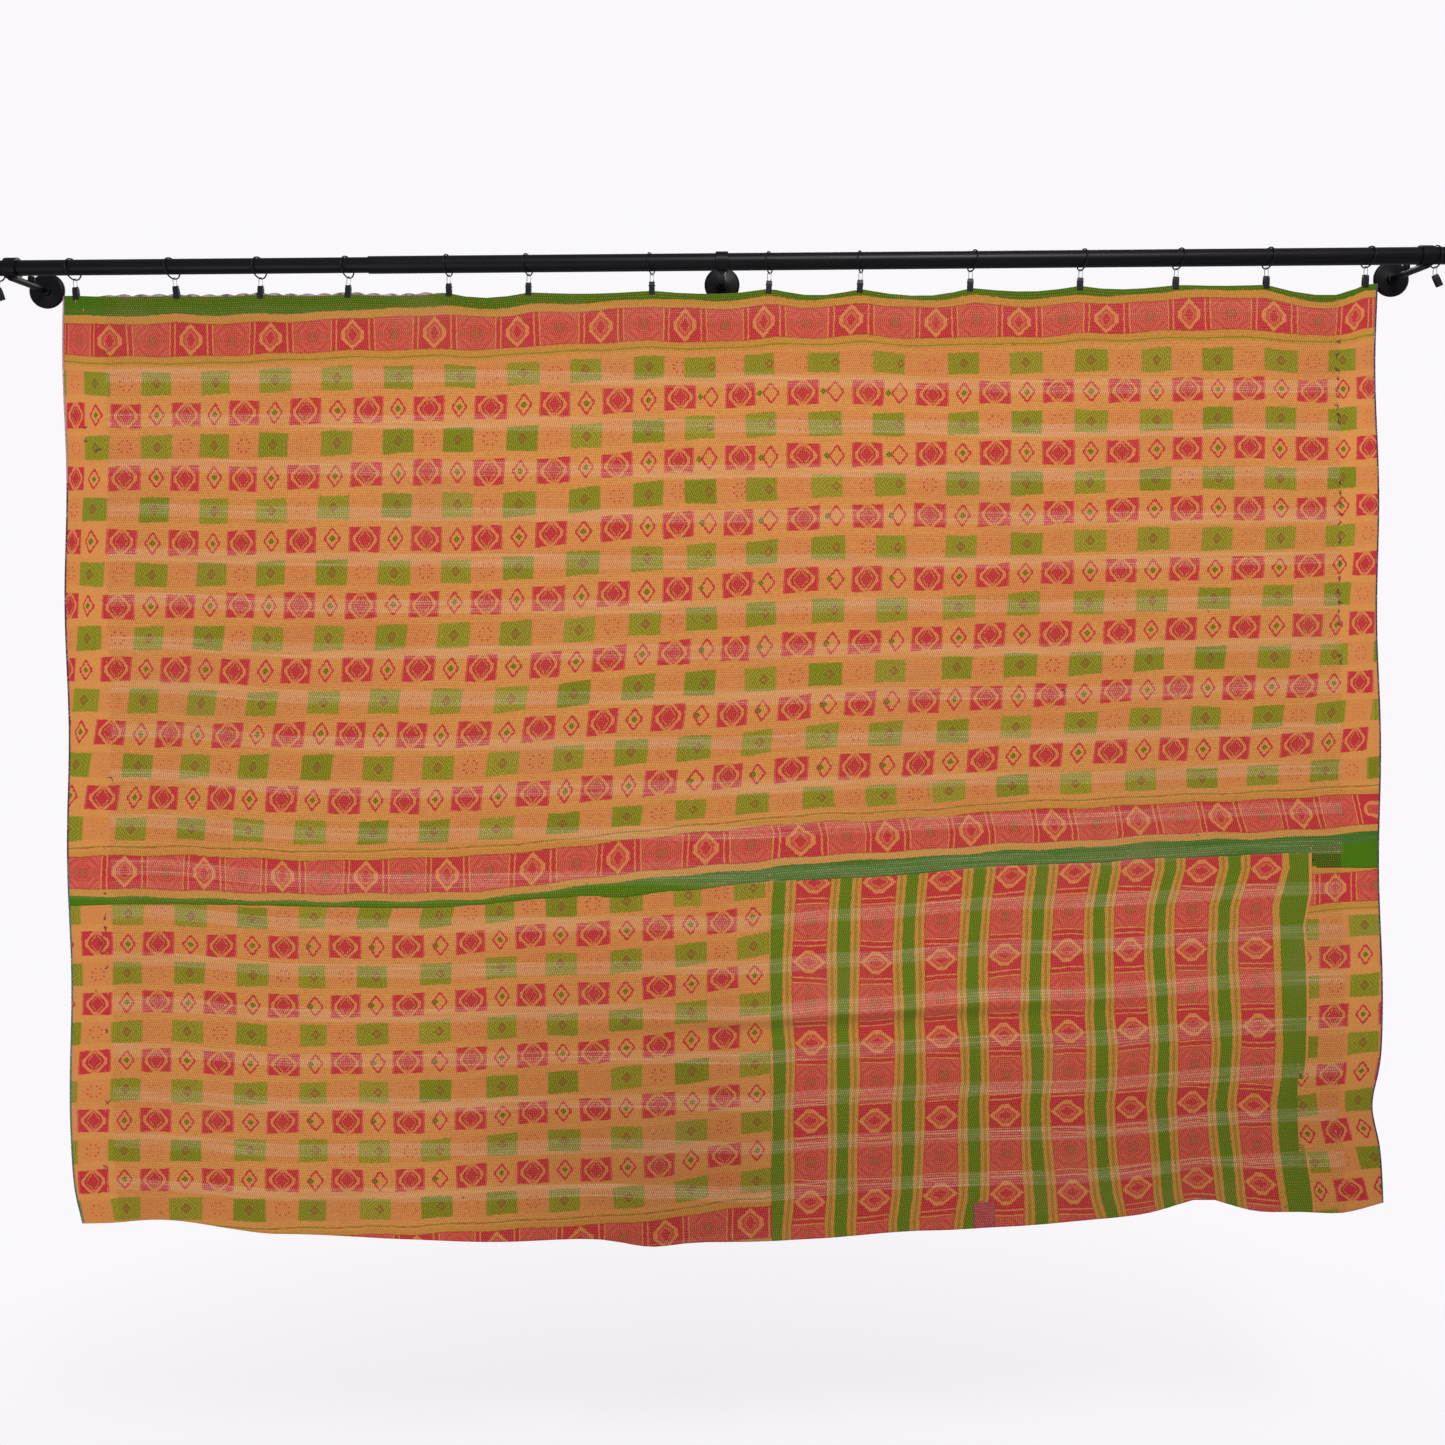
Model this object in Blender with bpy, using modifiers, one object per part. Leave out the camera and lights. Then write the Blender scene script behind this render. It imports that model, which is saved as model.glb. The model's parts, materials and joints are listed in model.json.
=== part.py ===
"""Kantha quilt hung on ring clips from a telescopic rod that three wall brackets carry.

Metres, +Z up. The wall is the plane y = 0, the room is at -Y, and the origin is the middle
of the back of the middle wall flange.
"""
import math
from collections import namedtuple

import bpy
import bmesh
from mathutils import Matrix, Vector

# Rod and brackets
ROD_Y = -0.113              # rod axis, out from the wall
ROD_Z = 0.016               # rod axis, above the flange centres
OUTER_RADIUS = 0.014        # 28 mm tube
INNER_RADIUS = 0.0125       # 25 mm tube that slides into it
TUBE_WALL = 0.0011
ROD_LEFT = -1.220
ROD_RIGHT = 1.210
OUTER_LEFT = -0.565         # where the wide tube ends and the narrow one shows
SLEEVE_OVERLAP = 0.160      # length of narrow tube inside the wide one
END_CAP_THICK = 0.004
BRACKET_X = {"left": -1.135, "middle": 0.0, "right": 1.125}
FLANGE_RADIUS = 0.0296
FLANGE_THICK = 0.007
FLANGE_CHAMFER = 0.003
HUB_RADIUS = 0.0095
HUB_FRONT = 0.013           # hub face, out from the wall
ARM_RADIUS = 0.0055
ARM_NOSE = 0.006            # arm past the rod axis, under the collar
COLLAR_RADIUS = 0.0166
COLLAR_WIDTH = 0.020
KNOB_RADIUS = 0.0056
KNOB_HEIGHT = 0.0085
KNOB_Y = -0.054             # set screw, out from the wall
GAP = 0.0003                # between pieces that touch
RING_GAP = 0.0005           # between a leaning ring's highest wire and the rod

# Rings and clips
RING_RADIUS = 0.0175        # to the middle of the wire
RING_WIRE = 0.0012
LOOP_WIRE = 0.0006
LOOP_HALF_WIDTH = 0.0028
CLIP_DROP = 0.0115          # clip's top below the middle of the ring's lowest wire
CLIP_WIDTH = 0.0092
CLIP_HEIGHT = 0.0200
JAW_THROAT = 0.0090         # depth of the clip's head above the slot

# Quilt
CLOTH = 0.003               # several layers stitched through
PINCH = 0.78                # part of the thickness left under the rows of white thread
BAND_SUNK = 0.0005          # how far those rows sink
LEFT_EDGE = -1.052
RIGHT_EDGE = 1.045
EDGE_RIPPLE = 0.0024        # wander of the side edges, and the metres of one wave
EDGE_RIPPLE_LENGTH = 0.40
EDGE_FADE = 0.10            # how far in from a side its wander is felt
LEFT_CORNER_CUT = 0.016     # the left edge leans in above the hem
LEFT_CORNER_WIDTH = 0.06
HEM_Z = -1.545
HEM_SIDE_RISE = 0.020       # corners hang higher than the middle of the hem
BLOCK_SEAM_X = 0.066        # between the two lower blocks
STRIP_SEAM_X = 0.935        # between the turned block and the right strip
CLIP_COLUMN = 0.007         # columns of points each side of a clip
SPAN_COLUMNS = 1            # further columns between two clips
EDGE_STRIP = 0.012          # flat strip that the clips bite

# A row for each clip that holds the cloth, left to right. x in metres; the ring's yaw, which
# turns its front to the left, its lean and the clip's tilt in degrees; the cloth's edge below
# the rod axis; the sag and the forward bow of the edge in the span that follows, and where
# along the span it is lowest.
Clip = namedtuple("Clip", "x yaw lean tilt edge sag bow lowest")
CLIPS = (
    Clip(-1.035, 16, 12, -4, 0.045, 0.002, 0.002, 0.5),
    Clip(-0.876, 19, 14, -8, 0.047, 0.002, -0.002, 0.5),
    Clip(-0.738, 21, 8, 0, 0.046, 0.003, 0.003, 0.5),
    Clip(-0.597, 20, 8, 3, 0.047, 0.003, -0.003, 0.5),
    Clip(-0.437, 14, 5, 0, 0.046, 0.009, 0.005, 0.45),
    Clip(-0.309, 18, 6, 2, 0.046, 0.003, -0.002, 0.5),
    Clip(-0.112, 16, 5, 1, 0.045, 0.008, 0.006, 0.55),
    Clip(0.076, 19, 0, 3, 0.043, 0.010, -0.004, 0.5),
    Clip(0.222, 19, 1, 4, 0.045, 0.013, 0.006, 0.55),
    Clip(0.398, -16, -10, 3, 0.045, 0.007, -0.003, 0.55),
    Clip(0.574, -12, -9, 4, 0.043, 0.007, 0.004, 0.4),
    Clip(0.727, -13, -12, 4, 0.043, 0.001, -0.003, 0.6),
    Clip(0.871, -10, -10, 2, 0.044, 0.019, 0.006, 0.6),
    Clip(1.030, -11, -14, 3, 0.044, 0.000, 0.000, 0.5),
)
# Empty rings at both ends, each with the bend of its clip against its wire loop.
Spare = namedtuple("Spare", "x yaw lean tilt bend")
SPARES = {"left": Spare(-1.158, 14, 6, 3, -22), "right": Spare(1.141, -5, -3, 6, -30)}

# Underside of the long upper cloth, from the left edge to the right: (x, z).
SEAM = ((-1.06, -1.008), (-0.92, -1.010), (-0.50, -1.019), (-0.14, -0.997),
        (0.09, -0.975), (0.63, -0.952), (1.06, -0.964))

# Waves of the hem: middle, rise and half width.
Wave = namedtuple("Wave", "x rise width")
HEM_WAVES = (Wave(-0.90, 0.015, 0.08), Wave(-0.13, -0.012, 0.06), Wave(0.60, 0.008, 0.15),
             Wave(0.755, 0.031, 0.08), Wave(1.06, 0.014, 0.05))

# What the hem hangs above its even curve and waves: (x, rise).
HEM_TRIM = ((-1.05, 0.008), (-0.90, 0.008), (-0.81, 0.010), (-0.72, 0.005), (-0.52, -0.001),
            (-0.33, -0.005), (-0.05, -0.006), (0.14, -0.001), (0.33, 0.005), (0.43, 0.009),
            (0.62, 0.011), (0.71, 0.008), (0.80, 0.011), (0.90, 0.020), (0.99, 0.012), (1.05, 0.010))

# Rows of white thread across the quilt: first row and pitch at the left, middle and right.
BAND_COUNT = 19
BAND_START = ((-0.92, -0.145), (0.03, -0.170), (0.92, -0.182))
BAND_PITCH = ((-0.92, 0.0735), (0.03, 0.0726), (0.92, 0.0700))
BAND_SAG = 0.012
UPPER_BANDS = 11            # rows that lie whole on the upper cloth

# Dents of the right edge: height, depth and half width.
Dent = namedtuple("Dent", "z depth width")
RIGHT_DENTS = (Dent(-1.345, 0.013, 0.05),)

# Slow waves of the hanging cloth: height to the front, length of one wave, phase, and the
# power of the drop from top to hem by which the wave grows, with the part already there.
Slow = namedtuple("Slow", "height length phase growth start")
SLOW_WAVES = (Slow(0.0040, 0.676, 0.6, 1, 0.45), Slow(0.0032, 1.232, -1.1, 1, 0.45),
              Slow(0.0050, 0.433, 0.9, 4, 0.0))
BOW_FADE = 0.15             # drop over which the bow between two clips dies away
FLAT_FADE = 0.09            # drop over which the cloth leaves the clips' plane

# Soft creases: middle, half length, half width, angle from level, and height to the front.
Crease = namedtuple("Crease", "x z length width angle height")
CREASES = (
    Crease(-0.07, -0.23, 0.13, 0.020, 118, 0.0035),
    Crease(-0.03, -0.15, 0.10, 0.025, 75, -0.0030),
    Crease(0.25, -1.185, 0.42, 0.016, 3, 0.0032),
    Crease(0.24, -1.225, 0.40, 0.022, 2, -0.0022),
    Crease(-0.62, -0.52, 0.22, 0.030, 24, 0.0025),
    Crease(0.70, -0.60, 0.26, 0.035, 152, -0.0028),
    Crease(0.76, -1.46, 0.13, 0.045, 95, -0.0060),
    Crease(-0.90, -1.44, 0.12, 0.050, 84, 0.0050),
    Crease(-0.13, -1.47, 0.10, 0.040, 92, 0.0045),
)

COLOURS = {
    "cotton_gold": ((0.58, 0.29, 0.08, 1.0), 0.92, 0.0),
    "cotton_field": ((0.62, 0.28, 0.08, 1.0), 0.92, 0.0),
    "cotton_red": ((0.50, 0.09, 0.08, 1.0), 0.92, 0.0),
    "cotton_strip": ((0.46, 0.24, 0.06, 1.0), 0.92, 0.0),
    "black_satin": ((0.012, 0.011, 0.013, 1.0), 0.38, 0.6),
    "black_ring": ((0.014, 0.013, 0.015, 1.0), 0.34, 0.7),
    "black_clip": ((0.020, 0.020, 0.024, 1.0), 0.45, 0.2),
}


def clear_objects():
    for old in list(bpy.data.objects):
        bpy.data.objects.remove(old, do_unlink=True)


def new_collection(name):
    group = bpy.data.collections.new(name)
    bpy.context.scene.collection.children.link(group)
    return group


def finish_of(name):
    """The named finish as a Principled material, made once."""
    material = bpy.data.materials.get(name)
    if material is None:
        colour, roughness, metallic = COLOURS[name]
        material = bpy.data.materials.new(name)
        material.use_nodes = True
        shader = material.node_tree.nodes["Principled BSDF"]
        shader.inputs["Base Color"].default_value = colour
        shader.inputs["Roughness"].default_value = roughness
        shader.inputs["Metallic"].default_value = metallic
    return material


def place(name, mesh, finish, group, matrix=None):
    """Link a mesh as the named object of a collection."""
    piece = bpy.data.objects.new(name, mesh)
    if not mesh.materials:
        mesh.materials.append(finish_of(finish))
    piece.matrix_world = matrix or Matrix.Identity(4)
    group.objects.link(piece)
    return piece


def smooth(mesh, degrees=35):
    mesh.shade_smooth()
    mesh.set_sharp_from_angle(angle=math.radians(degrees))
    return mesh


def evaluated_mesh(piece):
    """A mesh of the object with its modifiers or curve bevel worked out, and its caps welded."""
    bpy.context.view_layer.update()
    graph = bpy.context.evaluated_depsgraph_get()
    mesh = bpy.data.meshes.new_from_object(piece.evaluated_get(graph))
    net = bmesh.new()
    net.from_mesh(mesh)
    bmesh.ops.remove_doubles(net, verts=net.verts, dist=0.00001)
    bmesh.ops.recalc_face_normals(net, faces=net.faces)
    net.to_mesh(mesh)
    net.free()
    return mesh


def replace_by_mesh(piece, finish, group):
    """Swap a curve, or an object with modifiers, for a plain mesh object of the same name."""
    mesh = evaluated_mesh(piece)
    mesh.materials.clear()
    name, matrix = piece.name, piece.matrix_world.copy()
    bpy.data.objects.remove(piece, do_unlink=True)
    return place(name, mesh, finish, group, matrix)


def bar(name, radius, length, sides, finish, group, matrix):
    """A round bar along its own Z from 0 to length."""
    net = bmesh.new()
    bmesh.ops.create_cone(net, cap_ends=True, segments=sides, radius1=radius, radius2=radius,
                          depth=length, matrix=Matrix.Translation((0, 0, length / 2)))
    mesh = bpy.data.meshes.new(name)
    net.to_mesh(mesh)
    net.free()
    return place(name, smooth(mesh), finish, group, matrix)


def turned(name, profile, sides, finish, group, matrix, closed=False):
    """A shape turned about its own Z from (radius, height) points."""
    mesh = bpy.data.meshes.new(name)
    count = len(profile)
    edges = [(i, i + 1) for i in range(count - 1)]
    if closed:
        edges.append((count - 1, 0))
    mesh.from_pydata([(radius, 0, height) for radius, height in profile], edges, [])
    piece = place(name, mesh, finish, group, matrix)
    screw = piece.modifiers.new("Turn", "SCREW")
    screw.steps = screw.render_steps = sides
    screw.use_merge_vertices = True
    screw.merge_threshold = 0.00001
    screw.use_normal_calculate = True
    made = replace_by_mesh(piece, finish, group)
    smooth(made.data)
    return made


def along_x(x, y, z):
    """Places a shape's own Z along +X, starting at the point."""
    return Matrix.Translation((x, y, z)) @ Matrix.Rotation(math.radians(90), 4, "Y")


def out_from_wall(x, y, z):
    """Places a shape's own Z along -Y, starting at the point."""
    return Matrix.Translation((x, y, z)) @ Matrix.Rotation(math.radians(90), 4, "X")


def tube_profile(outer, inner, length):
    return [(outer, length), (outer, 0), (inner, 0), (inner, length)]


def build_rod(group):
    inner_length = OUTER_LEFT + SLEEVE_OVERLAP - ROD_LEFT
    turned("rod_inner", tube_profile(INNER_RADIUS, INNER_RADIUS - TUBE_WALL, inner_length), 28,
           "black_satin", group, along_x(ROD_LEFT, ROD_Y, ROD_Z), closed=True)
    turned("rod_outer", tube_profile(OUTER_RADIUS, OUTER_RADIUS - TUBE_WALL, ROD_RIGHT - OUTER_LEFT),
           32, "black_satin", group, along_x(OUTER_LEFT, ROD_Y, ROD_Z), closed=True)
    bar("end_cap_left", INNER_RADIUS, END_CAP_THICK, 28, "black_satin", group,
        along_x(ROD_LEFT - GAP - END_CAP_THICK, ROD_Y, ROD_Z))
    bar("end_cap_right", OUTER_RADIUS, END_CAP_THICK, 32, "black_satin", group,
        along_x(ROD_RIGHT + GAP, ROD_Y, ROD_Z))


def tube_radius(x):
    return INNER_RADIUS if x < OUTER_LEFT else OUTER_RADIUS


def build_bracket(side, x, group, cutters):
    flange = [(0, 0), (FLANGE_RADIUS, 0), (FLANGE_RADIUS, FLANGE_THICK - FLANGE_CHAMFER),
              (FLANGE_RADIUS - FLANGE_CHAMFER, FLANGE_THICK), (HUB_RADIUS, FLANGE_THICK),
              (HUB_RADIUS, HUB_FRONT), (0, HUB_FRONT)]
    turned("flange_" + side, flange[::-1], 32, "black_satin", group, out_from_wall(x, 0, 0))

    turned("collar_" + side, tube_profile(COLLAR_RADIUS, tube_radius(x) + GAP, COLLAR_WIDTH), 28,
           "black_satin", group, along_x(x - COLLAR_WIDTH / 2, ROD_Y, ROD_Z), closed=True)

    arm = bar("arm_" + side, ARM_RADIUS, -ROD_Y + ARM_NOSE - HUB_FRONT - GAP, 16, "black_satin",
              group, out_from_wall(x, -HUB_FRONT - GAP, 0))
    saddle = bar("saddle_cut_" + side, COLLAR_RADIUS + GAP, COLLAR_WIDTH * 2, 28, "black_satin",
                 cutters, along_x(x - COLLAR_WIDTH, ROD_Y, ROD_Z))
    saddle.hide_render = True
    saddle.display_type = "WIRE"
    cut = arm.modifiers.new("Saddle", "BOOLEAN")
    cut.operation = "DIFFERENCE"
    cut.object = saddle

    bar("screw_" + side, KNOB_RADIUS, KNOB_HEIGHT, 12, "black_satin", group,
        Matrix.Translation((x, KNOB_Y, ARM_RADIUS + GAP)))


def ring_frame(x, yaw, lean):
    """The ring's centre and turn, so that its lowest wire is at x and it hangs on the rod."""
    lean = math.radians(lean)
    inner = RING_RADIUS - RING_WIRE
    rise = tube_radius(x) + RING_GAP - inner * math.cos(lean)
    centre = Vector((x - RING_RADIUS * math.sin(lean), ROD_Y, ROD_Z + rise))
    turn = Matrix.Rotation(-lean, 4, "Y") @ Matrix.Rotation(math.radians(-yaw), 4, "Z")
    return centre, turn


def build_ring(name, mesh, x, yaw, lean, group):
    centre, turn = ring_frame(x, yaw, lean)
    place(name, mesh, "black_ring", group, Matrix.Translation(centre) @ turn)
    return centre.z - RING_RADIUS * math.cos(math.radians(lean))


def ring_mesh():
    bpy.ops.mesh.primitive_torus_add(major_segments=18, minor_segments=5,
                                     major_radius=RING_RADIUS, minor_radius=RING_WIRE)
    ring = bpy.context.active_object
    mesh = ring.data
    bpy.data.objects.remove(ring, do_unlink=True)
    mesh.name = "ring"
    mesh.transform(Matrix.Rotation(math.radians(90), 4, "Y"))
    return smooth(mesh, 60)


def loop_points(height):
    """A long wire loop: two straight sides and round ends, from the clip's head upward."""
    points = []
    for end, centre in ((1, height - LOOP_HALF_WIDTH), (-1, LOOP_HALF_WIDTH)):
        for step in range(5):
            angle = math.radians(45 * step)
            points.append((LOOP_HALF_WIDTH * math.cos(angle) * end, 0,
                           centre + LOOP_HALF_WIDTH * math.sin(angle) * end))
    return points


def clip_mesh(group, bend=0.0):
    """Head and two jaws, with the wire loop from its ring, which may meet it at an angle."""
    head, waist, foot, slot = 0.0024, 0.0037, 0.0034, CLOTH / 2 + GAP
    outline = [(-head, 0), (head, 0), (waist, -0.005), (foot, -CLIP_HEIGHT), (slot, -CLIP_HEIGHT),
               (slot, -JAW_THROAT), (-slot, -JAW_THROAT), (-slot, -CLIP_HEIGHT),
               (-foot, -CLIP_HEIGHT), (-waist, -0.005)]
    side = bpy.data.curves.new("clip_side", "CURVE")
    side.dimensions = "2D"
    side.fill_mode = "BOTH"
    side.extrude = CLIP_WIDTH / 2
    spline = side.splines.new("POLY")
    spline.points.add(len(outline) - 1)
    for point, (across, height) in zip(spline.points, outline):
        point.co = (across, height, 0, 1)
    spline.use_cyclic_u = True
    body = bpy.data.objects.new("clip_body", side)
    group.objects.link(body)
    body.matrix_world = Matrix(((0, 0, 1, 0), (1, 0, 0, 0), (0, 1, 0, 0), (0, 0, 0, 1)))
    body_matrix = body.matrix_world.copy()
    mesh = evaluated_mesh(body)
    mesh.transform(body_matrix)
    bpy.data.objects.remove(body, do_unlink=True)
    body = place("clip_body", mesh, "black_clip", group)

    sunk = 0.0012
    wire = bpy.data.curves.new("clip_loop", "CURVE")
    wire.dimensions = "3D"
    wire.bevel_depth = LOOP_WIRE
    wire.bevel_resolution = 0
    spline = wire.splines.new("POLY")
    points = loop_points(CLIP_DROP + RING_WIRE + GAP + LOOP_WIRE + sunk)
    spline.points.add(len(points) - 1)
    for point, (x, y, z) in zip(spline.points, points):
        point.co = (x, y, z - sunk, 1)
    spline.use_cyclic_u = True
    loop = bpy.data.objects.new("clip_loop", wire)
    group.objects.link(loop)
    loop = replace_by_mesh(loop, "black_clip", group)
    loop.matrix_world = Matrix.Rotation(math.radians(-bend), 4, "Y")

    join = body.modifiers.new("Loop", "BOOLEAN")
    join.operation = "UNION"
    join.object = loop
    mesh = evaluated_mesh(body)
    for used in (body, loop):
        bpy.data.objects.remove(used, do_unlink=True)
    mesh.name = "clip"
    mesh.materials.clear()
    return mesh


def hang_clip(name, mesh, row, low, group, bend=0.0):
    hung_at = Matrix.Translation((row.x, ROD_Y, low))
    swing = Matrix.Rotation(math.radians(row.tilt), 4, "Y")
    hang = Matrix.Translation((0, 0, -CLIP_DROP))
    turn = Matrix.Rotation(math.radians(bend), 4, "Y")
    place(name, mesh, "black_clip", group, hung_at @ swing @ hang @ turn)


def build_rings_and_clips(group):
    ring, clip = ring_mesh(), clip_mesh(group)
    for index, row in enumerate(CLIPS):
        tag = "%02d" % (index + 1)
        low = build_ring("ring_" + tag, ring, row.x, row.yaw, row.lean, group)
        hang_clip("clip_" + tag, clip, row, low, group)
    for side, row in SPARES.items():
        low = build_ring("ring_spare_" + side, ring, row.x, row.yaw, row.lean, group)
        hang_clip("clip_spare_" + side, clip_mesh(group, row.bend), row, low, group, row.bend)


def between(table, x):
    """Smooth height read from (x, value) rows."""
    if x <= table[0][0]:
        return table[0][1]
    for (x0, v0), (x1, v1) in zip(table, table[1:]):
        if x <= x1:
            t = (x - x0) / (x1 - x0)
            return v0 + (v1 - v0) * t * t * (3 - 2 * t)
    return table[-1][1]


def bump(x, middle, width):
    return math.exp(-((x - middle) / width) ** 2)


def span_of(x):
    """The clip at the left of x, the next one, and how far along that span x lies."""
    for left, right in zip(CLIPS, CLIPS[1:]):
        if x < right.x:
            break
    t = min(max((x - left.x) / (right.x - left.x), 0.0), 1.0)
    return left, right, t


def dip(t, lowest):
    """A hanging edge's shape from 0 to 1 and back, lowest at a given part of its span."""
    half = 0.5 * t / lowest if t < lowest else 0.5 + 0.5 * (t - lowest) / (1 - lowest)
    return math.sin(math.pi * half)


def top_z(x):
    left, right, t = span_of(x)
    edge = left.edge + (right.edge - left.edge) * t
    return ROD_Z - edge - left.sag * dip(t, left.lowest)


def seam_z(x):
    return between(SEAM, x)


def hem_z(x):
    waves = sum(wave.rise * bump(x, wave.x, wave.width) for wave in HEM_WAVES)
    return HEM_Z + HEM_SIDE_RISE * (x / RIGHT_EDGE) ** 2 + waves + between(HEM_TRIM, x)


def band_z(row, x):
    """Height of a row of white thread; halves lie between two rows."""
    sag = BAND_SAG * bump(x, -0.45, 0.40) * math.sin(math.pi * min(max(row / (BAND_COUNT - 1), 0), 1))
    return between(BAND_START, x) - row * between(BAND_PITCH, x) - sag


def edge_ripple(z, phase):
    return EDGE_RIPPLE * math.sin(2 * math.pi * z / EDGE_RIPPLE_LENGTH + phase)


def edge_shift(x, z):
    """Columns near the sides follow the sides' own wander."""
    left = edge_ripple(z, 0.4) + LEFT_CORNER_CUT * bump(z, HEM_Z, LEFT_CORNER_WIDTH)
    right = edge_ripple(z, 1.0) - sum(dent.depth * bump(z, dent.z, dent.width) for dent in RIGHT_DENTS)
    return left * bump(x, LEFT_EDGE, EDGE_FADE) + right * bump(x, RIGHT_EDGE, EDGE_FADE)


def crease_height(x, z):
    total = 0.0
    for crease in CREASES:
        angle = math.radians(crease.angle)
        dx, dz = x - crease.x, z - crease.z
        along = dx * math.cos(angle) + dz * math.sin(angle)
        across = dz * math.cos(angle) - dx * math.sin(angle)
        total += crease.height * bump(along, 0, crease.length) * bump(across, 0, crease.width)
    return total


def front_of_plane(x, z):
    """How far the middle of the cloth stands to the front of the clips' plane."""
    below = max(top_z(x) - z, 0.0)
    low = below / (top_z(x) - HEM_Z)
    left, _, t = span_of(x)
    bow = left.bow * math.sin(math.pi * t) ** 2 * math.exp(-below / BOW_FADE)
    slow = 0.0
    for wave in SLOW_WAVES:
        grown = wave.start + (1 - wave.start) * low ** wave.growth
        slow += wave.height * math.sin(2 * math.pi * x / wave.length + wave.phase) * grown
    free = 1 - math.exp(-(below / FLAT_FADE) ** 2)
    return bow + (slow + crease_height(x, z)) * free


def row_line(kind, value):
    """One line of points across the cloth: its height at x, its pinch from 0 to 1."""
    def height(x):
        if kind == "under_edge":
            return top_z(x) - value
        if kind == "above_bands":
            return top_z(x) + (band_z(0, x) - top_z(x)) * value
        if kind == "band":
            return band_z(value, x)
        if kind == "above_seam":
            last = band_z(UPPER_BANDS - 0.5, x)
            return last + (seam_z(x) + GAP / 2 - last) * value
        if kind == "under_seam":
            return seam_z(x) - GAP / 2
        last = band_z(BAND_COUNT - 1, x)
        return last + (hem_z(x) - last) * value
    pinched = 1.0 if kind == "band" and value == int(value) else 0.0
    return height, pinched


def upper_rows():
    rows = [("under_edge", 0.0), ("under_edge", EDGE_STRIP), ("above_bands", 0.42), ("above_bands", 0.72)]
    rows += [("band", half / 2) for half in range(2 * UPPER_BANDS)]
    rows += [("above_seam", 0.5), ("above_seam", 1.0)]
    return rows


def lower_rows():
    rows = [("under_seam", 0.0)]
    rows += [("band", half / 2) for half in range(2 * (UPPER_BANDS + 1), 2 * BAND_COUNT - 1)]
    rows += [("above_hem", 0.55), ("above_hem", 1.0)]
    return rows


def column_places():
    places = [LEFT_EDGE]
    for left, right in zip(CLIPS, CLIPS[1:]):
        start, end = left.x + CLIP_COLUMN, right.x - CLIP_COLUMN
        places += [left.x - CLIP_COLUMN, start]
        places += [start + (end - start) * (i + 1) / (SPAN_COLUMNS + 1) for i in range(SPAN_COLUMNS)]
    places += [CLIPS[-1].x - CLIP_COLUMN, RIGHT_EDGE]
    for seam in (BLOCK_SEAM_X, STRIP_SEAM_X):
        nearest = min(range(len(places)), key=lambda i: abs(places[i] - seam))
        places[nearest] = seam
    return places


def build_sheet(name, columns, rows, finish, group, trim_left=0.0, trim_right=0.0):
    """A stitched sheet: a grid laid on the cloth's folds and made as thick as its layers."""
    lines = [row_line(kind, value) for kind, value in rows]
    across, down = len(columns) - 1, len(lines) - 1
    net = bmesh.new()
    bmesh.ops.create_grid(net, x_segments=across, y_segments=down, size=0.5)
    pinches = []
    for vert in net.verts:
        column = round((vert.co.x + 0.5) * across)
        line = round((0.5 - vert.co.y) * down)
        x = columns[column]
        x += trim_left if column == 0 else 0.0
        x -= trim_right if column == across else 0.0
        height, pinched = lines[line]
        z = height(x)
        front = front_of_plane(x, z) - BAND_SUNK * pinched
        vert.co = (x + edge_shift(x, z), ROD_Y - front, z)
        pinches.append(pinched)
    mesh = bpy.data.meshes.new(name)
    net.to_mesh(mesh)
    net.free()
    sheet = place(name, smooth(mesh, 60), finish, group)
    layers = sheet.vertex_groups.new(name="full_thickness")
    for index, pinched in enumerate(pinches):
        layers.add([index], 1.0 - pinched, "REPLACE")
    solid = sheet.modifiers.new("Layers", "SOLIDIFY")
    solid.thickness = CLOTH
    solid.offset = 0
    solid.vertex_group = layers.name
    solid.thickness_vertex_group = PINCH
    return sheet


def build_quilt(group):
    columns = column_places()
    left_block = [x for x in columns if x <= BLOCK_SEAM_X]
    turned_block = [x for x in columns if BLOCK_SEAM_X <= x <= STRIP_SEAM_X]
    right_strip = [x for x in columns if x >= STRIP_SEAM_X]
    half = GAP / 2
    build_sheet("upper_cloth", columns, upper_rows(), "cotton_gold", group)
    build_sheet("lower_left_block", left_block, lower_rows(), "cotton_field", group, trim_right=half)
    build_sheet("lower_turned_block", turned_block, lower_rows(), "cotton_red", group,
                trim_left=half, trim_right=half)
    build_sheet("lower_right_strip", right_strip, lower_rows(), "cotton_strip", group, trim_left=half)


def main():
    clear_objects()
    parts = new_collection("kantha_quilt_on_rod")
    cutters = new_collection("cutters")
    build_rod(parts)
    for side, x in BRACKET_X.items():
        build_bracket(side, x, parts, cutters)
    build_rings_and_clips(parts)
    build_quilt(parts)


main()
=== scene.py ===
import json
import math

import bpy
import bmesh
import numpy as np
from mathutils import Matrix, Vector

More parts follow.
